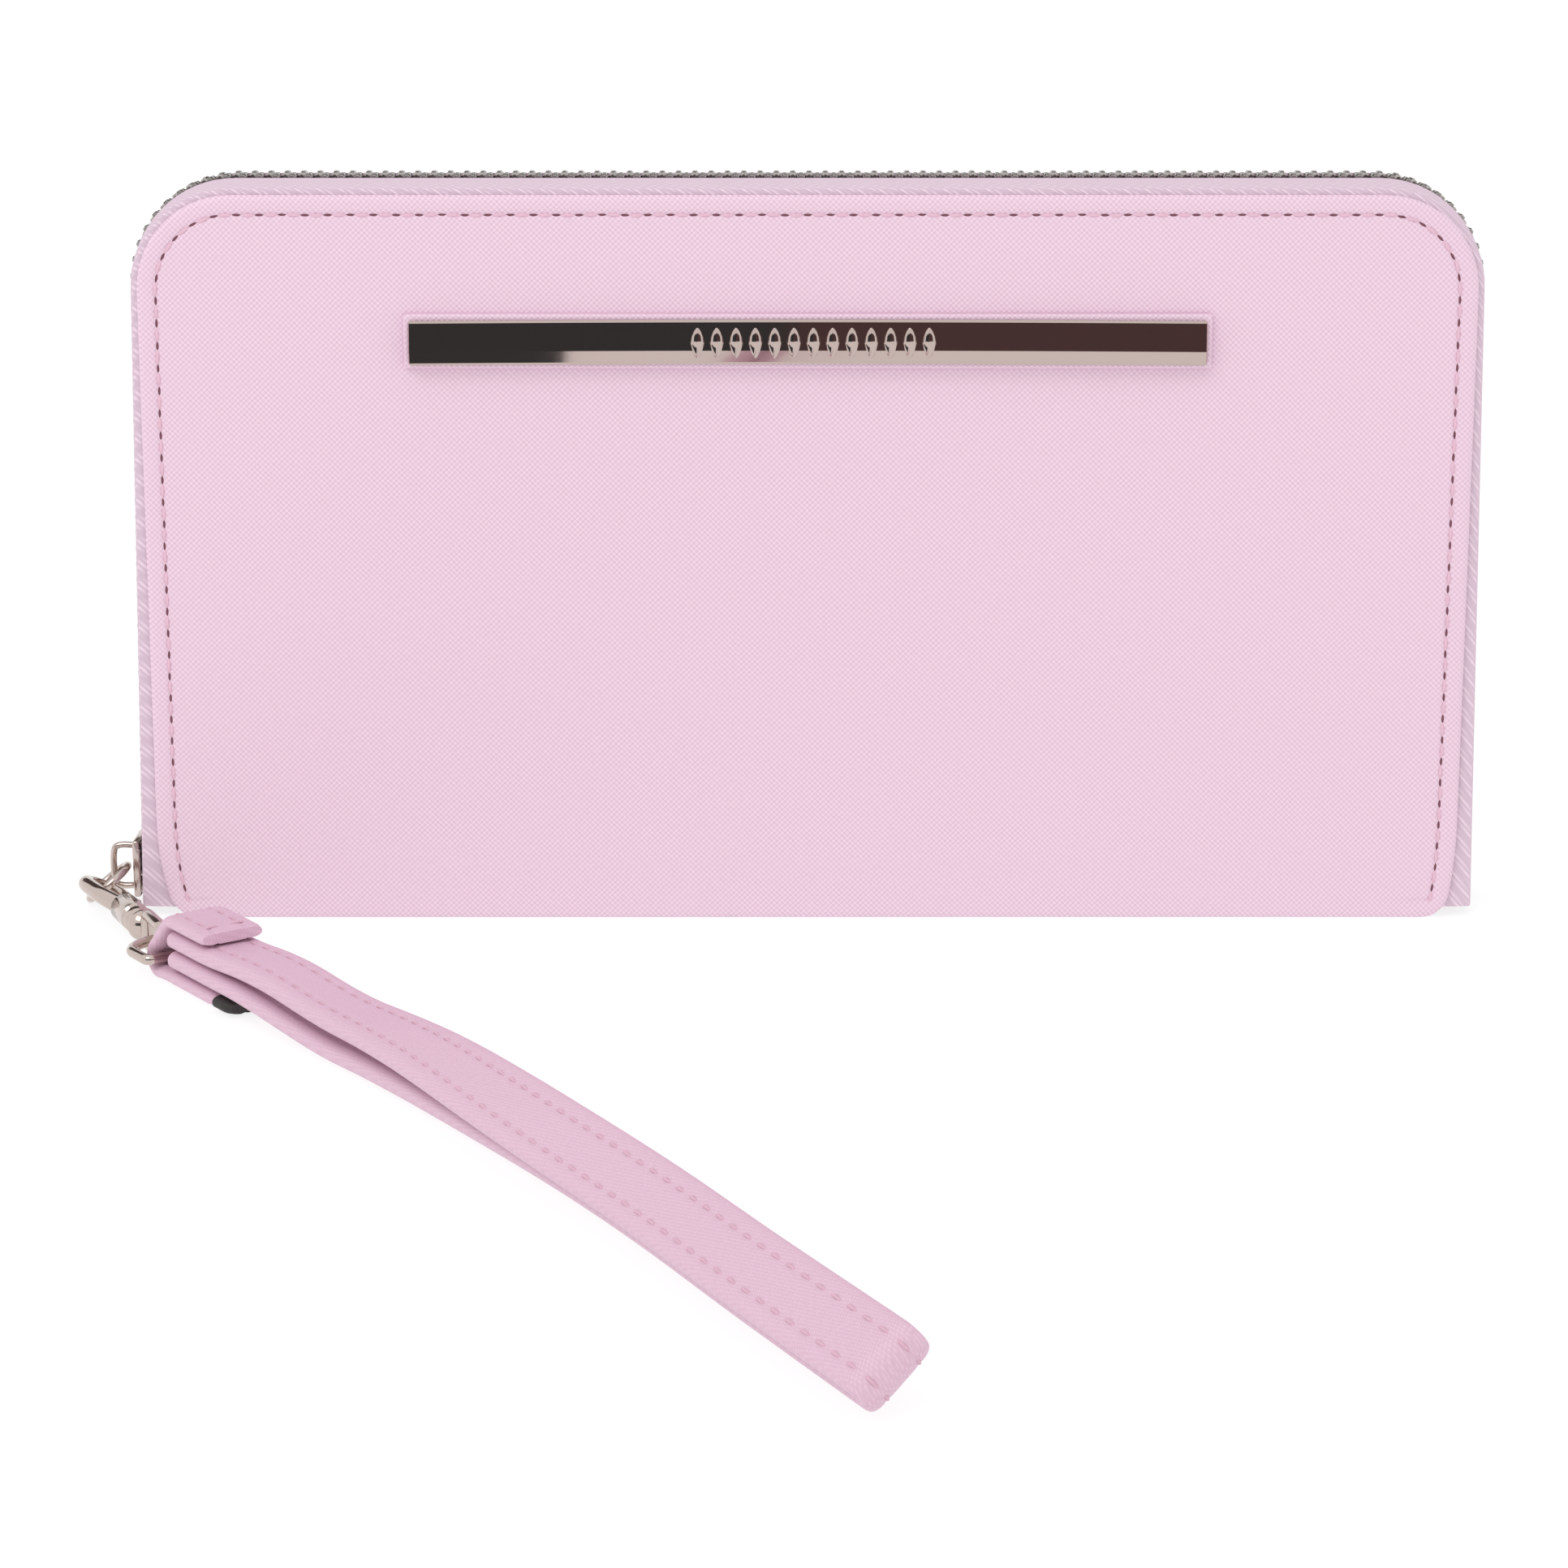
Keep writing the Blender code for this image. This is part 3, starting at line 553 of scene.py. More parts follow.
def cover(side, facing):
    """The outer leather of one cover, with its rim and stitches."""
    back = HALF_DEPTH - SKIN
    rings = [[(x, facing * back, z) for x, z in outline(inset)] for inset in (40 * MM, 0.3 * MM)]
    for inset in cover_insets():
        rings.append([(x, facing * skin_depth(x, z, inset), z) for x, z in outline(inset)])
    body = f"{side}_half"
    skin = Shape().skin(rings).finish(f"{side}_cover_leather", body, LEATHER, [f"{side}_cover_skin"])
    points = []
    for i, (x, z) in enumerate(edge_path(-GROOVE_INSET)):
        waver = STITCH_WAVER * math.sin(1.9 * i) * math.cos(0.37 * i)
        points.append(Vector((x + waver, facing * skin_depth(x, z, GROOVE_INSET), z + waver)))
    trail = Trail(points, [Vector((0, facing, 0))] * len(points))
    thread, hole_shade = Shape(), Shape()
    stitch_row(trail, thread, hole_shade, 0.0, trail.length)
    thread.finish(f"{side}_cover_stitches", body, THREAD)
    # Dark marks of painted shade for the needle holes.
    hole_shade.finish(f"{side}_cover_needle_hole_shade", body, NEEDLE_HOLE_SHADE)
    return skin


# Zip.


def tape(side, facing):
    """The zip's tape from under the cover, round its edge and up to the teeth."""
    tuck_depth = HALF_DEPTH - SKIN - GAP
    line = [Vector(point) for point in (
        (-4.5 * MM, tuck_depth - TAPE / 2), (0.1 * MM, tuck_depth - TAPE / 2),
        (0.9 * MM, 8.6 * MM), (1.2 * MM, 6.6 * MM), (1.4 * MM, 4.8 * MM),
        (1.5 * MM, CHAIN_FAR + 0.4 * MM))]
    centre = smooth_route(line, 3)
    outside, inside = [], []
    for i, point in enumerate(centre):
        along = centre[min(i + 1, len(centre) - 1)] - centre[max(i - 1, 0)]
        across = Vector((-along.y, along.x)).normalized() * (TAPE / 2)
        outside.append(point + across)
        inside.append(point - across)
    section = outside + inside[::-1]
    paths = [edge_path(point.x) for point in section]
    rings = []
    for station in range(len(paths[0])):
        rings.append([Vector((path[station][0], facing * point.y, path[station][1]))
                      for path, point in zip(paths, section)])
    Shape().skin(rings).finish(f"{side}_zip_tape_cloth", f"{side}_half", TAPE_CLOTH,
                               [f"{side}_zip_tape"])


def tooth(shape, place, outward, along, facing):
    """One moulded tooth: clamped on the tape, necked, with a head that reaches the middle."""
    depths = [(2.9, 0.45, 0.50), (2.6, 0.58, 0.68), (1.2, 0.56, 0.66), (0.6, 0.40, 0.55),
              (0.0, 0.46, 0.60), (-0.45, 0.50, 0.62), (-0.7, 0.28, 0.40)]
    rings = []
    for depth, half_long, half_high in depths:
        ring = []
        for a, b in ((1, 0.5), (0.5, 1), (-0.5, 1), (-1, 0.5), (-1, -0.5), (-0.5, -1), (0.5, -1), (1, -0.5)):
            ring.append(place + along * (a * half_long * MM) + outward * (b * half_high * MM)
                        + Y_AXIS * (facing * depth * MM))
        rings.append(ring)
    shape.skin(rings)


def teeth(side, facing):
    points = [Vector((x, 0.0, z)) for x, z in edge_path(CHAIN_OFFSET)]
    outwards = []
    last = len(points) - 1
    for i in range(len(points)):
        along = (points[min(i + 1, last)] - points[max(i - 1, 0)]).normalized()
        outwards.append(along.cross(Y_AXIS) * -1)
    trail = Trail(points, outwards)
    shape = Shape()
    distance = TOOTH_PITCH * (0.5 if facing < 0 else 1.0)
    while distance < trail.length:
        place, outward = trail.at(distance)
        if place.x < 0:
            divided = 1 - ease(place.z, SLIDER_LOW + POST_LENGTH, SLIDER_LOW + 2 * POST_LENGTH)
            place = place + Y_AXIS * (facing * TEETH_PARTING * divided)
        tooth(shape, place, outward, Y_AXIS.cross(outward), facing)
        distance += TOOTH_PITCH
    shape.finish(f"{side}_zip_teeth", f"{side}_half", TEETH, [f"{side}_zip_chain"])


def slider():
    """Two plates on a post, rounded, with side rails and the bridge that carries the ring."""
    face, inner = -SLIDER_FACE, -SLIDER_FACE + SLIDER_DEPTH
    low, high = SLIDER_LOW, SLIDER_LOW + SLIDER_LENGTH
    half = SLIDER_HALF_WIDTH
    shape = Shape()
    shape.box((face, -half, low), (face + 1.1 * MM, half, high), 0.45 * MM)
    shape.box((inner - 0.8 * MM, -half + 0.6 * MM, low), (inner, half - 0.6 * MM, high), 0.3 * MM)
    shape.box((face + 0.6 * MM, -0.3 * MM, low + 0.4 * MM), (inner - 0.3 * MM, 0.3 * MM, low + POST_LENGTH),
              0.1 * MM)
    for sign in (-1, 1):
        y = sorted((sign * (half - 0.7 * MM), sign * half))
        shape.box((face + 0.4 * MM, y[0], low + 0.8 * MM), (face + 1.2 * MM, y[1], high - 1.2 * MM),
                  0.25 * MM)
    shape.finish("slider_casting", "slider", NICKEL, ["slider_body"])
    low_leg, high_leg = low + 1.0 * MM, high - 1.6 * MM
    reach = face - 0.2 * MM - BRIDGE_REACH
    line = [Vector((face + 0.2 * MM, 0, low_leg)), Vector((reach + 0.9 * MM, 0, low_leg)),
            Vector((reach, 0, low_leg + 1.1 * MM)), Vector((reach, 0, high_leg - 1.1 * MM)),
            Vector((reach + 0.9 * MM, 0, high_leg)), Vector((face + 0.2 * MM, 0, high_leg))]
    bridge = Shape().tube(smooth_route(line, 6), BRIDGE_WIRE, 16, up=Y_AXIS)
    bridge.finish("slider_bridge_arch", "slider", NICKEL, ["slider_bridge"])


def zip_stops():
    """The small clamps at both ends of the chain."""
    ends = edge_path(CHAIN_OFFSET)
    for name, x in (("zip_stop_left", ends[0][0]), ("zip_stop_right", ends[-1][0])):
        shape = Shape()
        shape.box((x - 0.6 * MM, -2.9 * MM, 0.2 * MM), (x + 0.6 * MM, -0.6 * MM, 1.0 * MM), 0.25 * MM)
        shape.finish(f"{name}_clamp", "front_half", TEETH, [name])


# Front bar.


def name_bar():
    """A two-faceted polished bar with a row of plain lozenges, on a padded leather surround."""
    top = BAR_HEIGHT + BAR_HALF_HEIGHT
    low = BAR_HEIGHT - BAR_HALF_HEIGHT
    crease = BAR_HEIGHT - 1.15 * MM
    profile = [(BAR_BACK, low), (BAR_BACK, top), (BAR_FRONT - 0.85 * MM, top),
               (BAR_FRONT - 0.66 * MM, top - 0.22 * MM), (BAR_FRONT - 0.6 * MM, top - 0.34 * MM),
               (BAR_FRONT - 0.05 * MM, crease + 0.05 * MM), (BAR_FRONT - 0.04 * MM, crease - 0.05 * MM),
               (BAR_FRONT - 0.34 * MM, low + 0.3 * MM), (BAR_FRONT - 0.5 * MM, low)]
    rings = []
    stations = [-1.0, -0.997] + [i / 24 for i in range(-23, 24)] + [0.997, 1.0]
    for share in stations:
        taper = 0.3 * MM if abs(share) == 1.0 else 0.0
        lift = 0.22 * MM * (1 - share * share) - 0.1 * MM
        ring = []
        for depth, z in profile:
            shrunk = BAR_HEIGHT + (z - BAR_HEIGHT) * (1 - taper / BAR_HALF_HEIGHT)
            ring.append((share * BAR_HALF_LENGTH, -(depth - taper * (depth > BAR_BACK)), shrunk + lift))
        rings.append(ring)
    Shape().skin(rings).finish("name_bar_polished", "front_half", POLISHED, ["name_bar"], 12.0)
    beads = Shape()
    for i in range(-6, 7):
        x = i * LOZENGE_PITCH + 0.8 * MM
        points = [Vector((x, -BAR_FRONT + 0.18 * MM, BAR_HEIGHT + z * MM)) for z in
                  (-2.2, -1.8, -1.0, 0.0, 1.0, 1.8, 2.2)]
        radii = [0.12 * MM, 0.45 * MM, 0.8 * MM, 1.0 * MM, 0.8 * MM, 0.45 * MM, 0.12 * MM]
        beads.tube(points, radii, 12, up=Y_AXIS, flat=0.42)
    beads.finish("name_bar_lozenges", "front_half", POLISHED)
    half = BAR_HALF_LENGTH + 0.8 * MM
    tall = BAR_HALF_HEIGHT + 0.8 * MM
    surround = Shape()
    surround.box((-half, -12.1 * MM, BAR_HEIGHT - tall), (half, -10.9 * MM, BAR_HEIGHT + tall),
                 0.5 * MM, 4)
    surround.finish("name_bar_surround", "front_half", LEATHER, ["name_bar_base"])


# Spine and inside.


def spine():
    """The leather that turns under from one cover to the other."""
    depth = HALF_DEPTH - SKIN - 0.1 * MM
    ring = arc((depth - 1.0 * MM, 1.0 * MM), 1.0 * MM, 270, 360, 6)
    ring += [(depth, 1.25 * MM), (-depth, 1.25 * MM)]
    ring += arc((-depth + 1.0 * MM, 1.0 * MM), 1.0 * MM, 180, 270, 6)
    half = HALF_WIDTH - SPINE_INSET
    rings = []
    for i in range(41):
        x = -half + 2 * half * i / 40
        rings.append([(x, y, z) for y, z in ring])
    Shape().skin(rings).finish("spine_leather", "front_half", LEATHER, ["spine_cover"])


def lining(side, facing):
    rings = []
    inner = LINING_DEPTH - LINING
    for inset, depth in ((30 * MM, LINING_DEPTH), (LINING_INSET + 0.15 * MM, LINING_DEPTH),
                         (LINING_INSET, LINING_DEPTH - LINING / 2),
                         (LINING_INSET + 0.15 * MM, inner), (30 * MM, inner)):
        rings.append([(x, facing * depth, z) for x, z in outline(inset)])
    Shape().skin(rings).finish(f"{side}_lining_cloth", f"{side}_half", LINING_CLOTH,
                               [f"{side}_lining"])


def card_pocket(side, facing, number):
    """One card pocket's leather, its folded top edge and the stitches below the fold."""
    outer = POCKET_DEPTH - number * POCKET_PITCH
    inner = outer - POCKET
    top = POCKET_TOP - number * POCKET_STEP
    half = POCKET_HALF_WIDTH
    low_y, high_y = sorted((facing * outer, facing * inner))
    shape = Shape()
    shape.box((-half, low_y, POCKET_FLOOR), (half, high_y, top), 0.15 * MM, 2)
    middle = facing * (outer + inner) / 2
    fold = [Vector((-half + 2 * half * i / 20, middle, top - 0.25 * MM)) for i in range(21)]
    shape.tube(fold, 0.32 * MM, 10, up=Z_AXIS)
    body = f"{side}_half"
    shape.finish(f"{side}_card_pocket_leather_{number + 1}", body, POCKET_LEATHER,
                 [f"{side}_card_pocket_{number + 1}"])
    line = [Vector((x, facing * inner, top - 2.5 * MM)) for x in (-half + 2 * MM, half - 2 * MM)]
    thread = Shape()
    trail = Trail(line, [Vector((0, -facing, 0))] * 2)
    stitch_row(trail, thread, None, 0.0, trail.length, 0.13 * MM, sides=6)
    thread.finish(f"{side}_card_pocket_stitches_{number + 1}", body, THREAD)


def gusset(name, sign):
    """A pleated side, sewn to both covers and folded in either side of the coin pocket."""
    pleat = [(93.6, -7.0), (90.0, -3.8), (93.2, 0.0), (90.0, 3.8), (93.6, 7.0)]
    line = smooth_route([Vector((x * MM, y * MM)) for x, y in pleat], 8)
    near, far = [], []
    for i, point in enumerate(line):
        along = (line[min(i + 1, len(line) - 1)] - line[max(i - 1, 0)]).normalized()
        across = Vector((-along.y, along.x)) * (0.2 * MM)
        near.append(point + across)
        far.append(point - across)
    height = GUSSET_TOP - POCKET_FLOOR
    rings = []
    for step in range(13):
        z = POCKET_FLOOR + height * step / 12
        rings.append([(sign * p.x, p.y, z) for p in near + far[::-1]])
    piece = Shape().skin(rings).finish(f"{name}_cloth", None, LINING_CLOTH, [name])
    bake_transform(piece)


def coin_pocket():
    """The zipped pocket in the middle: two bound walls, a fine zip and its slider and pull."""
    half, low, high = COIN_HALF_WIDTH, POCKET_FLOOR, COIN_TOP
    for name, sign in (("coin_pocket_front", -1), ("coin_pocket_back", 1)):
        low_y, high_y = sorted((sign * 0.9 * MM, sign * 0.5 * MM))
        wall = Shape().box((-half, low_y, low), (half, high_y, high), 0.15 * MM, 2)
        points = [Vector((-half + 2 * half * i / 20, sign * 0.7 * MM, high - 0.3 * MM)) for i in range(21)]
        wall.tube(points, 0.38 * MM, 10, up=Z_AXIS)
        wall.finish(f"{name}_cloth", "coin_pocket", LINING_CLOTH, [name])
        line = [Vector((x, sign * 0.9 * MM, high - 3.0 * MM)) for x in (-half + 2 * MM, half - 2 * MM)]
        thread = Shape()
        trail = Trail(line, [Vector((0, sign, 0))] * 2)
        stitch_row(trail, thread, None, 0.0, trail.length, 0.14 * MM, sides=6)
        thread.finish(f"{name}_stitches", "coin_pocket", THREAD)
    chain = Shape()
    steps = 100
    length = 2 * (half - 5 * MM)
    for i in range(steps):
        x = -length / 2 + length * i / steps
        sign = 1 if i % 2 else -1
        y = sorted((-0.25 * MM * sign, 0.75 * MM * sign))
        chain.box((x - 0.45 * MM, y[0], high + 0.35 * MM), (x + 0.45 * MM, y[1], high + 1.4 * MM),
                  0.15 * MM, 1)
    chain.finish("coin_zip_teeth", "coin_pocket", TEETH, ["coin_zip_chain"])
    left = -half + 6 * MM
    slide_low = high + 1.8 * MM
    slide = Shape()
    slide.box((left, -1.7 * MM, slide_low), (left + 7 * MM, 1.7 * MM, slide_low + 1.0 * MM), 0.4 * MM)
    slide.finish("coin_slider_casting", "coin_slider", NICKEL, ["coin_slider"])
    pull_low = slide_low + 1.3 * MM
    outline_points = arc((left + 2.5 * MM, 0.0), 1.5 * MM, 270, 90, 10)
    outline_points += arc((left + 14.0 * MM, 0.0), 1.0 * MM, 90, -90, 10)
    rings = []
    for shrink, z in ((0.75, 0.0), (1.0, 0.2), (1.0, 0.6), (0.75, 0.8)):
        ring = []
        for x, y in outline_points:
            centre_x = left + 8.0 * MM
            ring.append((centre_x + (x - centre_x) * (0.95 + 0.05 * shrink), y * shrink, pull_low + z * MM))
        rings.append(ring)
    Shape().skin(rings).finish("coin_pull_leaf", "coin_pull", NICKEL, ["coin_pull"])


# Ring, clip, D-ring and strap.


def ring_plane():
    """The pull ring's centre and its two directions."""
    across = (Y_AXIS - RING_LEAN * RING_LEAN.y).normalized()
    return BRIDGE_CROSSING + RING_LEAN * RING_RADIUS, RING_LEAN, across


def ring_front():
    """The ring's foremost point, where the clip's hook hangs on it."""
    centre, first, second = ring_plane()
    return centre - (first * first.y + second * second.y).normalized() * RING_RADIUS


def pull_ring():
    centre, first, second = ring_plane()
    points = []
    for i in range(48):
        angle = math.tau * i / 48
        points.append(centre + (first * math.cos(angle) + second * math.sin(angle)) * RING_RADIUS)
    Shape().tube(points, RING_WIRE, 16, True, first.cross(second)).finish(
        "pull_ring_forged", "ring", NICKEL, ["pull_ring"])


def clip_frame():
    heading = Matrix.Rotation(CLIP_HEADING, 4, "Z")
    return Matrix.Translation(ring_front() - heading @ Vector((HOOK_RIM_TO_RING, 0, 0))) @ heading


def hook(plane):
    """The claw: a tapering hook out of a turned barrel, with the gate's pin."""
    middle = HOOK_RADIUS - 0.75 * MM
    line = [Vector((x * MM, y * MM)) for x, y in ((14.0, 0.0), (12.4, -1.1), (9.6, -2.4), (7.0, -2.95))]
    line += [Vector(point) for point in arc((HOOK_RADIUS, 0.0), middle, 270, 64, 8)]
    points = [Vector((p.x, p.y, 0.0)) for p in smooth_route(line, 5)]
    last = len(points) - 1
    radii = []
    for i in range(last + 1):
        share = i / last
        radii.append((HOOK_WIRE - HOOK_TAPER * share) * math.sqrt(min(1.0, (1.02 - share) * 12)))
    shape = Shape().tube(points, radii, 20, up=Z_AXIS, flat=1.05)
    shape.turned([(BARREL_START - 0.4 * MM, 1.1 * MM), (BARREL_START, 1.8 * MM),
                  (BARREL_START + 0.8 * MM, BARREL_RADIUS), (BARREL_END - 3.2 * MM, BARREL_RADIUS),
                  (BARREL_END - 2.8 * MM, 1.85 * MM), (BARREL_END - 2.2 * MM, 1.85 * MM),
                  (BARREL_END - 1.9 * MM, BARREL_RADIUS), (BARREL_END - 0.4 * MM, BARREL_RADIUS),
                  (BARREL_END, 1.9 * MM)])
    shape.place(plane).finish("claw_hook", "claw", NICKEL, ["claw_body"])
    pin = Shape().turned([(-1.5 * MM, 0.35 * MM), (-1.35 * MM, 0.5 * MM), (1.35 * MM, 0.5 * MM),
                          (1.5 * MM, 0.35 * MM)], 20)
    pin.place(plane @ Matrix.Translation((BARREL_START - 1.0 * MM, 2.3 * MM, 0.0))
              @ Matrix.Rotation(math.pi / 2, 4, "Y"))
    pin.finish("claw_pin", "claw", NICKEL)


def gate(plane):
    """The sprung gate that closes the hook, with its thumb lever."""
    root = Vector((BARREL_START - 1.0 * MM, 2.7 * MM, 0.0))
    line = [Vector((x * MM, y * MM, 0.0)) for x, y in
            ((-5.2, 0.65), (-3.0, 0.55), (-1.2, 0.35), (0.0, 0.6), (0.2, 1.5), (0.1, 2.3))]
    points = smooth_route(line, 5)
    last = len(points) - 1
    radii = []
    for i in range(last + 1):
        share = i / last
        radii.append((0.5 + 0.2 * math.sin(math.pi * share)) * MM)
    shape = Shape().tube(points, radii, 16, up=Z_AXIS, flat=1.15)
    shape.place(plane @ Matrix.Translation(root))
    shape.finish("claw_gate_lever", "gate", NICKEL, ["claw_gate"])


def swivel(clip):
    """The turned collar and the squared eye that spins on it."""
    start, wire = EYE_START + 0.8 * MM, 0.8 * MM
    end = EYE_START + EYE_LENGTH - wire
    high = EYE_HALF_HEIGHT - wire
    corner = 1.4 * MM
    loop = arc((start + corner, high - corner), corner, 180, 90, 8)
    loop += arc((end - corner, high - corner), corner, 90, 0, 8)
    loop += arc((end - corner, corner - high), corner, 0, -90, 8)
    loop += arc((start + corner, corner - high), corner, -90, -180, 8)
    shape = Shape().tube([Vector((x, 0.0, z)) for x, z in loop], wire, 16, True, Y_AXIS, 1.2)
    first = BARREL_END + 0.3 * MM
    shape.turned([(first, 1.3 * MM), (first + 0.3 * MM, COLLAR_RADIUS - 0.1 * MM),
                  (first + 0.7 * MM, COLLAR_RADIUS), (first + 1.3 * MM, COLLAR_RADIUS - 0.25 * MM),
                  (first + 1.9 * MM, COLLAR_RADIUS - 0.9 * MM), (first + 2.3 * MM, 0.9 * MM)])
    shape.turned([(BARREL_END - 1.0 * MM, 0.85 * MM), (first + 0.5 * MM, 0.85 * MM)], 20)
    shape.place(clip).finish("swivel_eye_forged", "swivel", NICKEL, ["swivel_eye"])


def d_ring(plane):
    depth = D_DEPTH - D_STRAIGHT
    points = []
    for i in range(25):
        angle = math.radians(90 + 180 * i / 24)
        points.append(Vector((depth + depth * math.cos(angle), D_HALF_WIDTH * math.sin(angle), 0.0)))
    for sign in (-1, 1):
        corner = [(x, y) for x, y in arc((D_DEPTH - 0.9 * MM, D_HALF_WIDTH - 0.9 * MM), 0.9 * MM, 0, 90, 4)]
        corner = corner if sign > 0 else [(x, -y) for x, y in reversed(corner)]
        points += [Vector((x, y, 0.0)) for x, y in corner]
    shape = Shape().tube(points, 0.8 * MM, 16, True)
    shape.place(plane).finish("d_ring_forged", "d_ring", NICKEL, ["d_ring"])


def band_section(width, thickness, groove=0.16 * MM, steps=36):
    """A leather band's section: full rounded edges and a groove along each row of stitches."""
    half = thickness / 2
    row = width * STITCH_ROW
    side = []
    for k in range(steps + 1):
        x = width / 2 * math.cos(math.pi * k / steps)
        share = min(abs(x) / (width / 2), 1.0)
        y = half * (1 - share ** 7) ** 0.45
        y -= groove * math.exp(-(((abs(x) - row) / (0.35 * MM)) ** 2))
        side.append((x, max(y, 0.0)))
    return side + [(x, -y) for x, y in side[-2:0:-1]]


def strap_frames(bar):
    """Both runs of the strap: lower centre, upper centre, across, normal and along."""
    heading = Vector((math.cos(D_HEADING), math.sin(D_HEADING), 0.0))
    first = Vector((bar.x, bar.y, 0.0)) + heading * STRAP_START
    route = smooth_route([first] + [Vector((x * MM, y * MM, 0.0)) for x, y in STRAP_ROUTE], 12)
    last = len(route) - 1
    frames = []
    travelled = 0.0
    for i, place in enumerate(route):
        if i:
            travelled += (place - route[i - 1]).length
        along = (route[min(i + 1, last)] - route[max(i - 1, 0)]).normalized()
        lean = STRAP_LEAN * ease(travelled, 30 * MM, 110 * MM)
        across = Vector((-along.y, along.x, 0.0)) * math.cos(lean) + Z_AXIS * math.sin(lean)
        normal = along.cross(across)
        bed = STRAP_LIFT + (TAB_THICKNESS + GAP) * (1 - ease(travelled, 16 * MM, 45 * MM))
        rise = (STRAP_WIDTH / 2) * math.sin(lean) + (STRAP_THICKNESS / 2) * math.cos(lean)
        parting = ease(travelled, 8 * MM, 30 * MM) * (1 - ease(travelled, 60 * MM, 120 * MM))
        lower = place + Z_AXIS * (bed + rise)
        upper = lower + normal * (STRAP_THICKNESS + GAP + STRAP_PARTING * parting)
        frames.append((lower, upper, across, normal, along))
    return frames


def strap(bar):
    """The strap's band, its edges and two rows of stitches along its outer face."""
    frames = strap_frames(bar)
    stations = [(lower, across, -normal) for lower, upper, across, normal, along in frames]
    lower, upper, across, normal, along = frames[-1]
    centre, radius = (lower + upper) / 2, (upper - lower).length / 2
    for i in range(1, 16):
        angle = math.pi * i / 16
        out = along * math.sin(angle) - normal * math.cos(angle)
        stations.append((centre + out * radius, across, out))
    stations += [(upper, across, normal) for lower, upper, across, normal, along in reversed(frames)]
    section = band_section(STRAP_WIDTH, STRAP_THICKNESS)
    rings = [[place + a * x + out * y for x, y in section] for place, a, out in stations]
    Shape().skin(rings).finish("wrist_strap_leather", "strap", STRAP_LEATHER, ["wrist_strap"])
    thread = Shape()
    surface = STRAP_THICKNESS / 2 - 0.14 * MM
    for row in (-STITCH_ROW, STITCH_ROW):
        points = [place + a * (row * STRAP_WIDTH) + out * surface for place, a, out in stations]
        trail = Trail(points, [out for place, a, out in stations])
        stitch_row(trail, thread, None, 4 * MM, trail.length - 4 * MM, 0.2 * MM)
    thread.finish("wrist_strap_stitches", "strap", SHADED_THREAD)


def tab_line(bottom, top):
    """The tab's line: bottom leaf, a close nose round the D-ring's bar, a rise, and top leaf."""
    nose = arc((0.0, 0.0), TAB_NOSE, 270, 135, 14)
    start = nose[-1]
    bend_x = start[0] + (top - start[1]) + TAB_BEND * math.tan(math.radians(22.5))
    bend = arc((bend_x, top - TAB_BEND), TAB_BEND, 135, 90, 8)
    end = TAB_BOTTOM_LEAF - TAB_END_CAP - GAP
    line = [(end + (TAB_NOSE - end) * i / 10, bottom) for i in range(11)] + nose
    rise = [(start[0] + (bend[0][0] - start[0]) * t, start[1] + (bend[0][1] - start[1]) * t)
            for t in (0.25, 0.5, 0.75)]
    leaf = [(bend_x + (TAB_TOP_LEAF - bend_x) * i / 10, top) for i in range(1, 11)]
    return [Vector((x, 0.0, z)) for x, z in line + rise + bend + leaf]


def anchor_tab(plane, floor):
    """The tab that wraps the D-ring's bar, with its stitches and its dipped black end."""
    bottom = floor + STRAP_LIFT + TAB_THICKNESS / 2
    top = bottom + TAB_THICKNESS + 2 * STRAP_THICKNESS + 3 * GAP
    centre = tab_line(bottom, top)
    last = len(centre) - 1
    section = band_section(STRAP_WIDTH, TAB_THICKNESS)
    rings, outs = [], []
    for i, place in enumerate(centre):
        along = (centre[min(i + 1, last)] - centre[max(i - 1, 0)]).normalized()
        out = along.cross(Y_AXIS)
        slim = 0.8 if i in (0, last) else 1.0
        rings.append([place + Y_AXIS * (x * (0.8 + 0.2 * slim)) + out * (y * slim) for x, y in section])
        outs.append(out)
    Shape().skin(rings).place(plane).finish("anchor_tab_leather", "strap", STRAP_LEATHER,
                                            ["strap_anchor_tab"])
    thread = Shape()
    surface = TAB_THICKNESS / 2 - 0.14 * MM
    facing = 1 if outs[-1].z > 0 else -1
    for row in (-STITCH_ROW, STITCH_ROW):
        points = [place + Y_AXIS * (row * STRAP_WIDTH) + out * (surface * facing)
                  for place, out in zip(centre, outs)]
        trail = Trail(points, [out * facing for out in outs])
        stitch_row(trail, thread, None, 1 * MM, trail.length - 3 * MM, 0.2 * MM)
    height = top + TAB_THICKNESS / 2 - 0.06 * MM
    across = [Vector((TAB_TOP_LEAF - 2.4 * MM, sign * 4.0 * MM, height)) for sign in (-1, 1)]
    trail = Trail(across, [Z_AXIS, Z_AXIS])
    stitch_row(trail, thread, None, 0.0, trail.length, 0.24 * MM)
    thread.place(plane).finish("anchor_tab_stitches", "strap", SHADED_THREAD)
    cap = []
    for share in (0.0, 0.03, 0.2, 0.4, 0.6, 0.75, 0.87, 0.95, 1.0):
        x = TAB_BOTTOM_LEAF - TAB_END_CAP * (1 - share)
        shrink = 1 - 0.9 * max(share - 0.6, 0.0) ** 2
        cap.append([Vector((x, y * shrink, bottom + z * shrink)) for y, z in section])
    Shape().skin(cap).place(plane).finish("anchor_tab_dipped_end", "strap", EDGE_PAINT,
                                          ["strap_end_cap"])


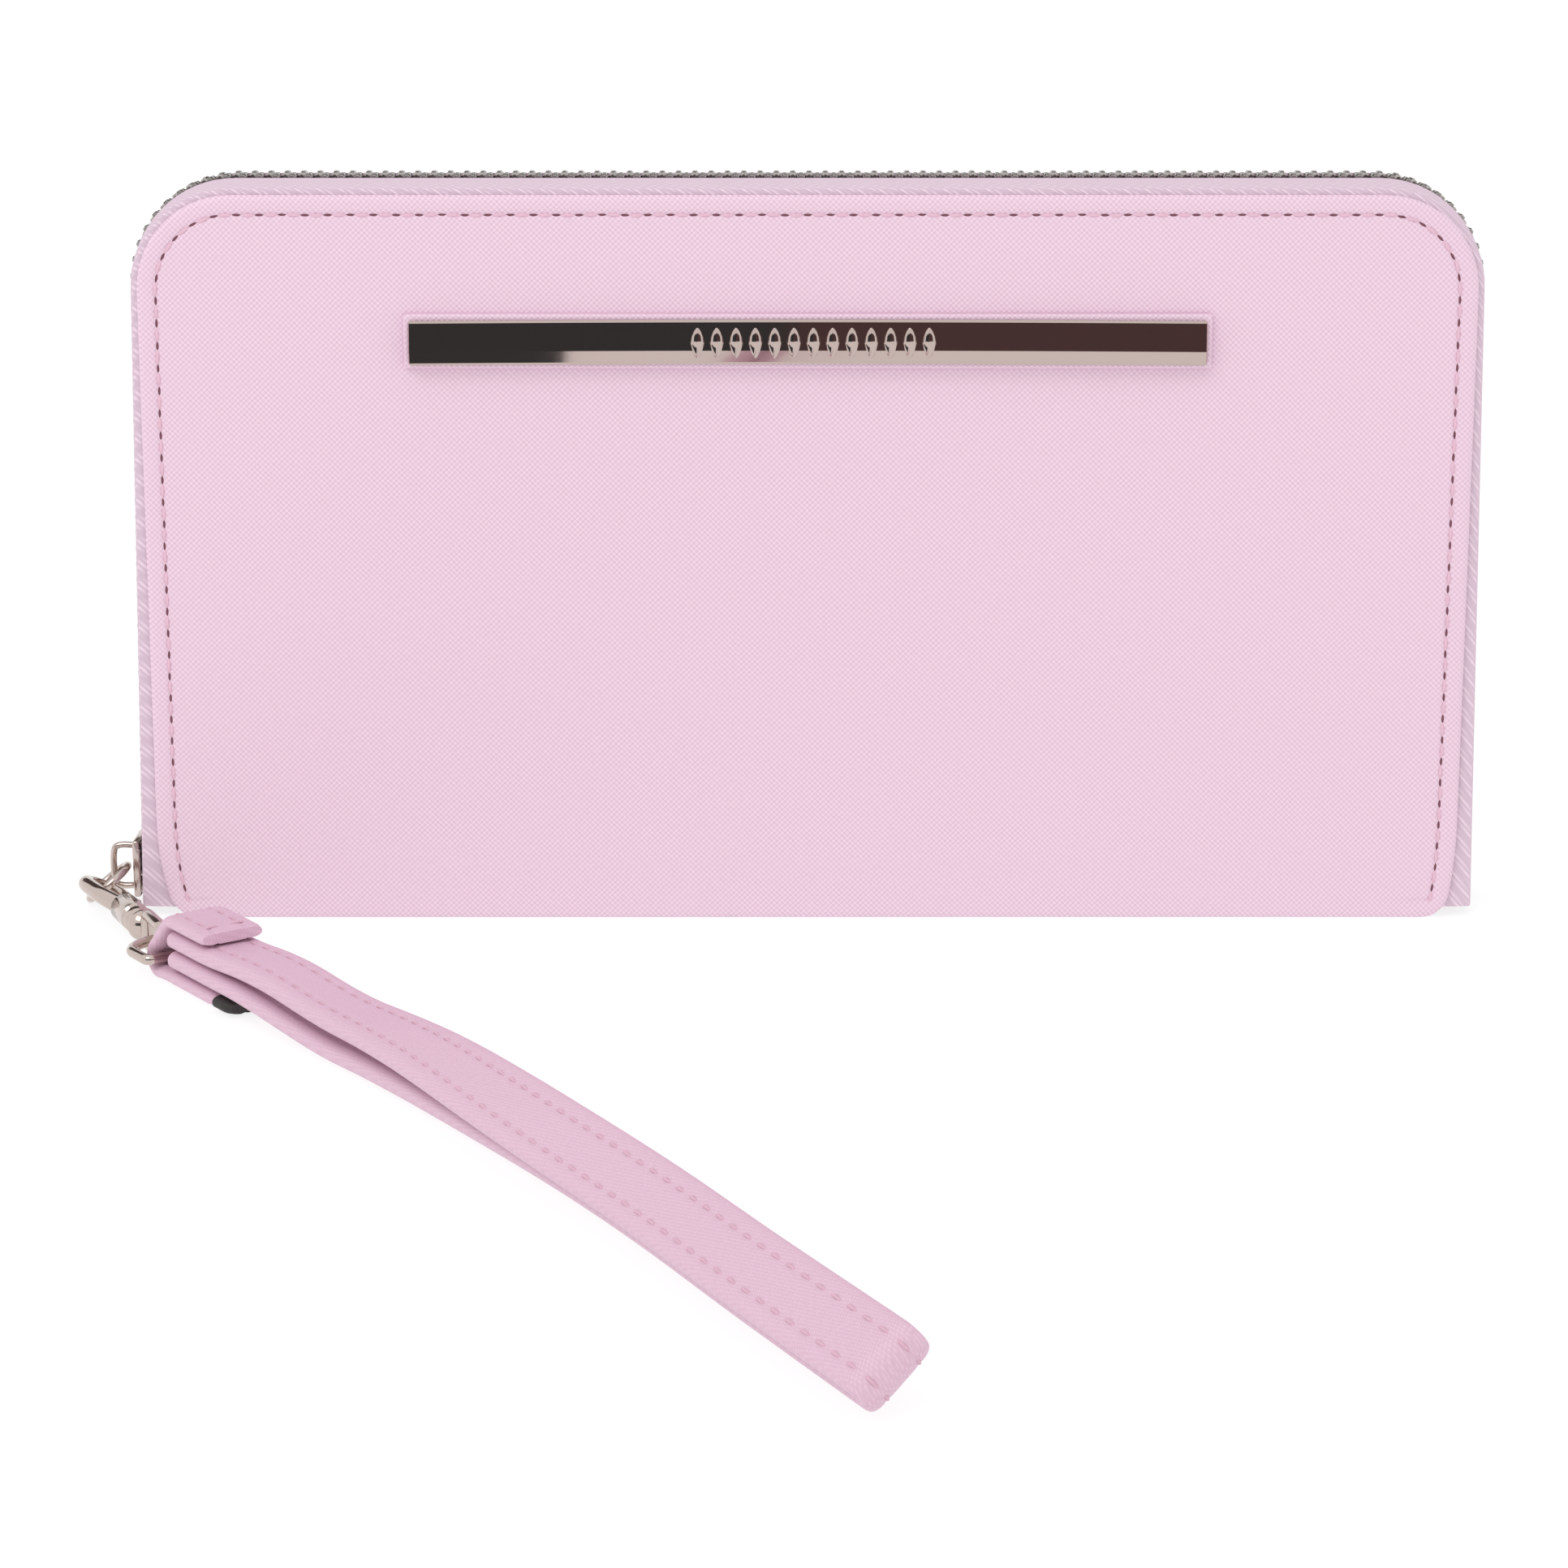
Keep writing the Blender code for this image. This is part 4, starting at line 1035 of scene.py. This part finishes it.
def hardware():
    pull_ring()
    clip = clip_frame()
    plane = clip @ Matrix.Rotation(CLIP_ROLL, 4, "X")
    hook(plane)
    gate(plane)
    swivel(clip)
    turn = Matrix.Rotation(D_HEADING, 4, "Z")
    crossing = Matrix.Translation(clip @ Vector((D_CROSSING, 0, 0))) @ turn
    d_ring(crossing)
    bar = crossing @ Vector((D_DEPTH, 0, 0))
    strap(bar)
    anchor_tab(Matrix.Translation(bar) @ turn, -bar.z)


# CAD pieces that are shown as they are, studio and camera.


def repaint(paint, *names):
    for name in names:
        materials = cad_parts[name].data.materials
        materials.clear()
        materials.append(paint[0])


def plane(name, low, high, colour, glow, matt):
    """A flat stage piece that gives off light, mixed with a matt share that takes shadows."""
    mesh = bpy.data.meshes.new(name)
    form = bmesh.new()
    bmesh.ops.create_grid(form, x_segments=1, y_segments=1, size=0.5)
    form.to_mesh(mesh)
    form.free()
    obj = bpy.data.objects.new(name, mesh)
    bpy.context.scene.collection.objects.link(obj)
    low, high = Vector(low), Vector(high)
    size = high - low
    obj.location = (low + high) / 2
    if size.z > 0:
        obj.rotation_euler = (math.pi / 2, 0.0, 0.0)
        obj.scale = (size.x, size.z, 1.0)
    else:
        obj.scale = (size.x, size.y, 1.0)
    material = bpy.data.materials.new(name)
    material.use_nodes = True
    tree = material.node_tree
    shader = tree.nodes["Principled BSDF"]
    shader.inputs["Base Color"].default_value = (matt, matt, matt, 1.0)
    shader.inputs["Roughness"].default_value = 1.0
    shader.inputs["Specular IOR Level"].default_value = 0.0
    shader.inputs["Emission Color"].default_value = colour
    shader.inputs["Emission Strength"].default_value = glow
    mesh.materials.append(material)
    return obj


def reflect_only(obj):
    """A card that only polished metal sees."""
    obj.visible_camera = False
    obj.visible_diffuse = False
    obj.visible_shadow = False
    obj.visible_transmission = False


def area_light(name, place, target, size, power):
    lamp = bpy.data.lights.new(name, "AREA")
    lamp.size = size
    lamp.energy = power
    obj = bpy.data.objects.new(name, lamp)
    bpy.context.scene.collection.objects.link(obj)
    obj.location = place
    obj.rotation_euler = (Vector(target) - Vector(place)).to_track_quat("-Z", "Y").to_euler()


def studio():
    scene = bpy.context.scene
    scene.view_settings.view_transform = "Standard"
    world = bpy.data.worlds.new("studio_world")
    world.use_nodes = True
    world.node_tree.nodes["Background"].inputs["Color"].default_value = (1.0, 1.0, 1.0, 1.0)
    world.node_tree.nodes["Background"].inputs["Strength"].default_value = 1.0
    scene.world = world
    plane("floor", (-3.0, -3.0, 0.0), (3.0, 3.0, 0.0), (1.0, 1.0, 1.0, 1.0), 0.82, 0.22)
    cards = [
        plane("front_card_left", (-0.8, -0.9, 0.02), (0.0, -0.9, 0.34), linear(66, 69, 70), 1.0, 0.0),
        plane("front_card_right", (0.0, -0.9, 0.02), (0.8, -0.9, 0.34), linear(93, 74, 74), 1.0, 0.0),
        plane("rear_card", (-0.8, 0.6, 0.26), (0.6, 0.6, 0.75), linear(84, 74, 72), 1.0, 0.0),
        plane("low_card", (-0.4, -0.28, 0.001), (-0.045, -0.13, 0.001), linear(66, 69, 70), 1.0, 0.0),
    ]
    for card in cards:
        reflect_only(card)
    area_light("key", (-0.45, -0.7, 0.9), (0.0, 0.0, 0.05), 0.5, 2.2)


def camera():
    lens = bpy.data.cameras.new("camera")
    lens.sensor_width = 36.0
    lens.lens = 86.8
    obj = bpy.data.objects.new("camera", lens)
    bpy.context.scene.collection.objects.link(obj)
    obj.location = (-0.00345, -0.559, 0.170)
    obj.rotation_euler = (math.radians(90 - 15.2), 0.0, 0.0)
    bpy.context.scene.camera = obj


def build():
    for side, facing in (("front", -1), ("back", 1)):
        cover(side, facing)
        tape(side, facing)
        teeth(side, facing)
        lining(side, facing)
        for number in range(POCKETS_PER_COVER):
            card_pocket(side, facing, number)
    zip_stops()
    spine()
    for name, sign in (("gusset_left", -1), ("gusset_right", 1)):
        gusset(name, sign)
    coin_pocket()
    name_bar()
    slider()
    hardware()
    repaint(GREYBOARD, "front_cover_board", "back_cover_board", "spine_stiffener")
    studio()
    camera()


build()
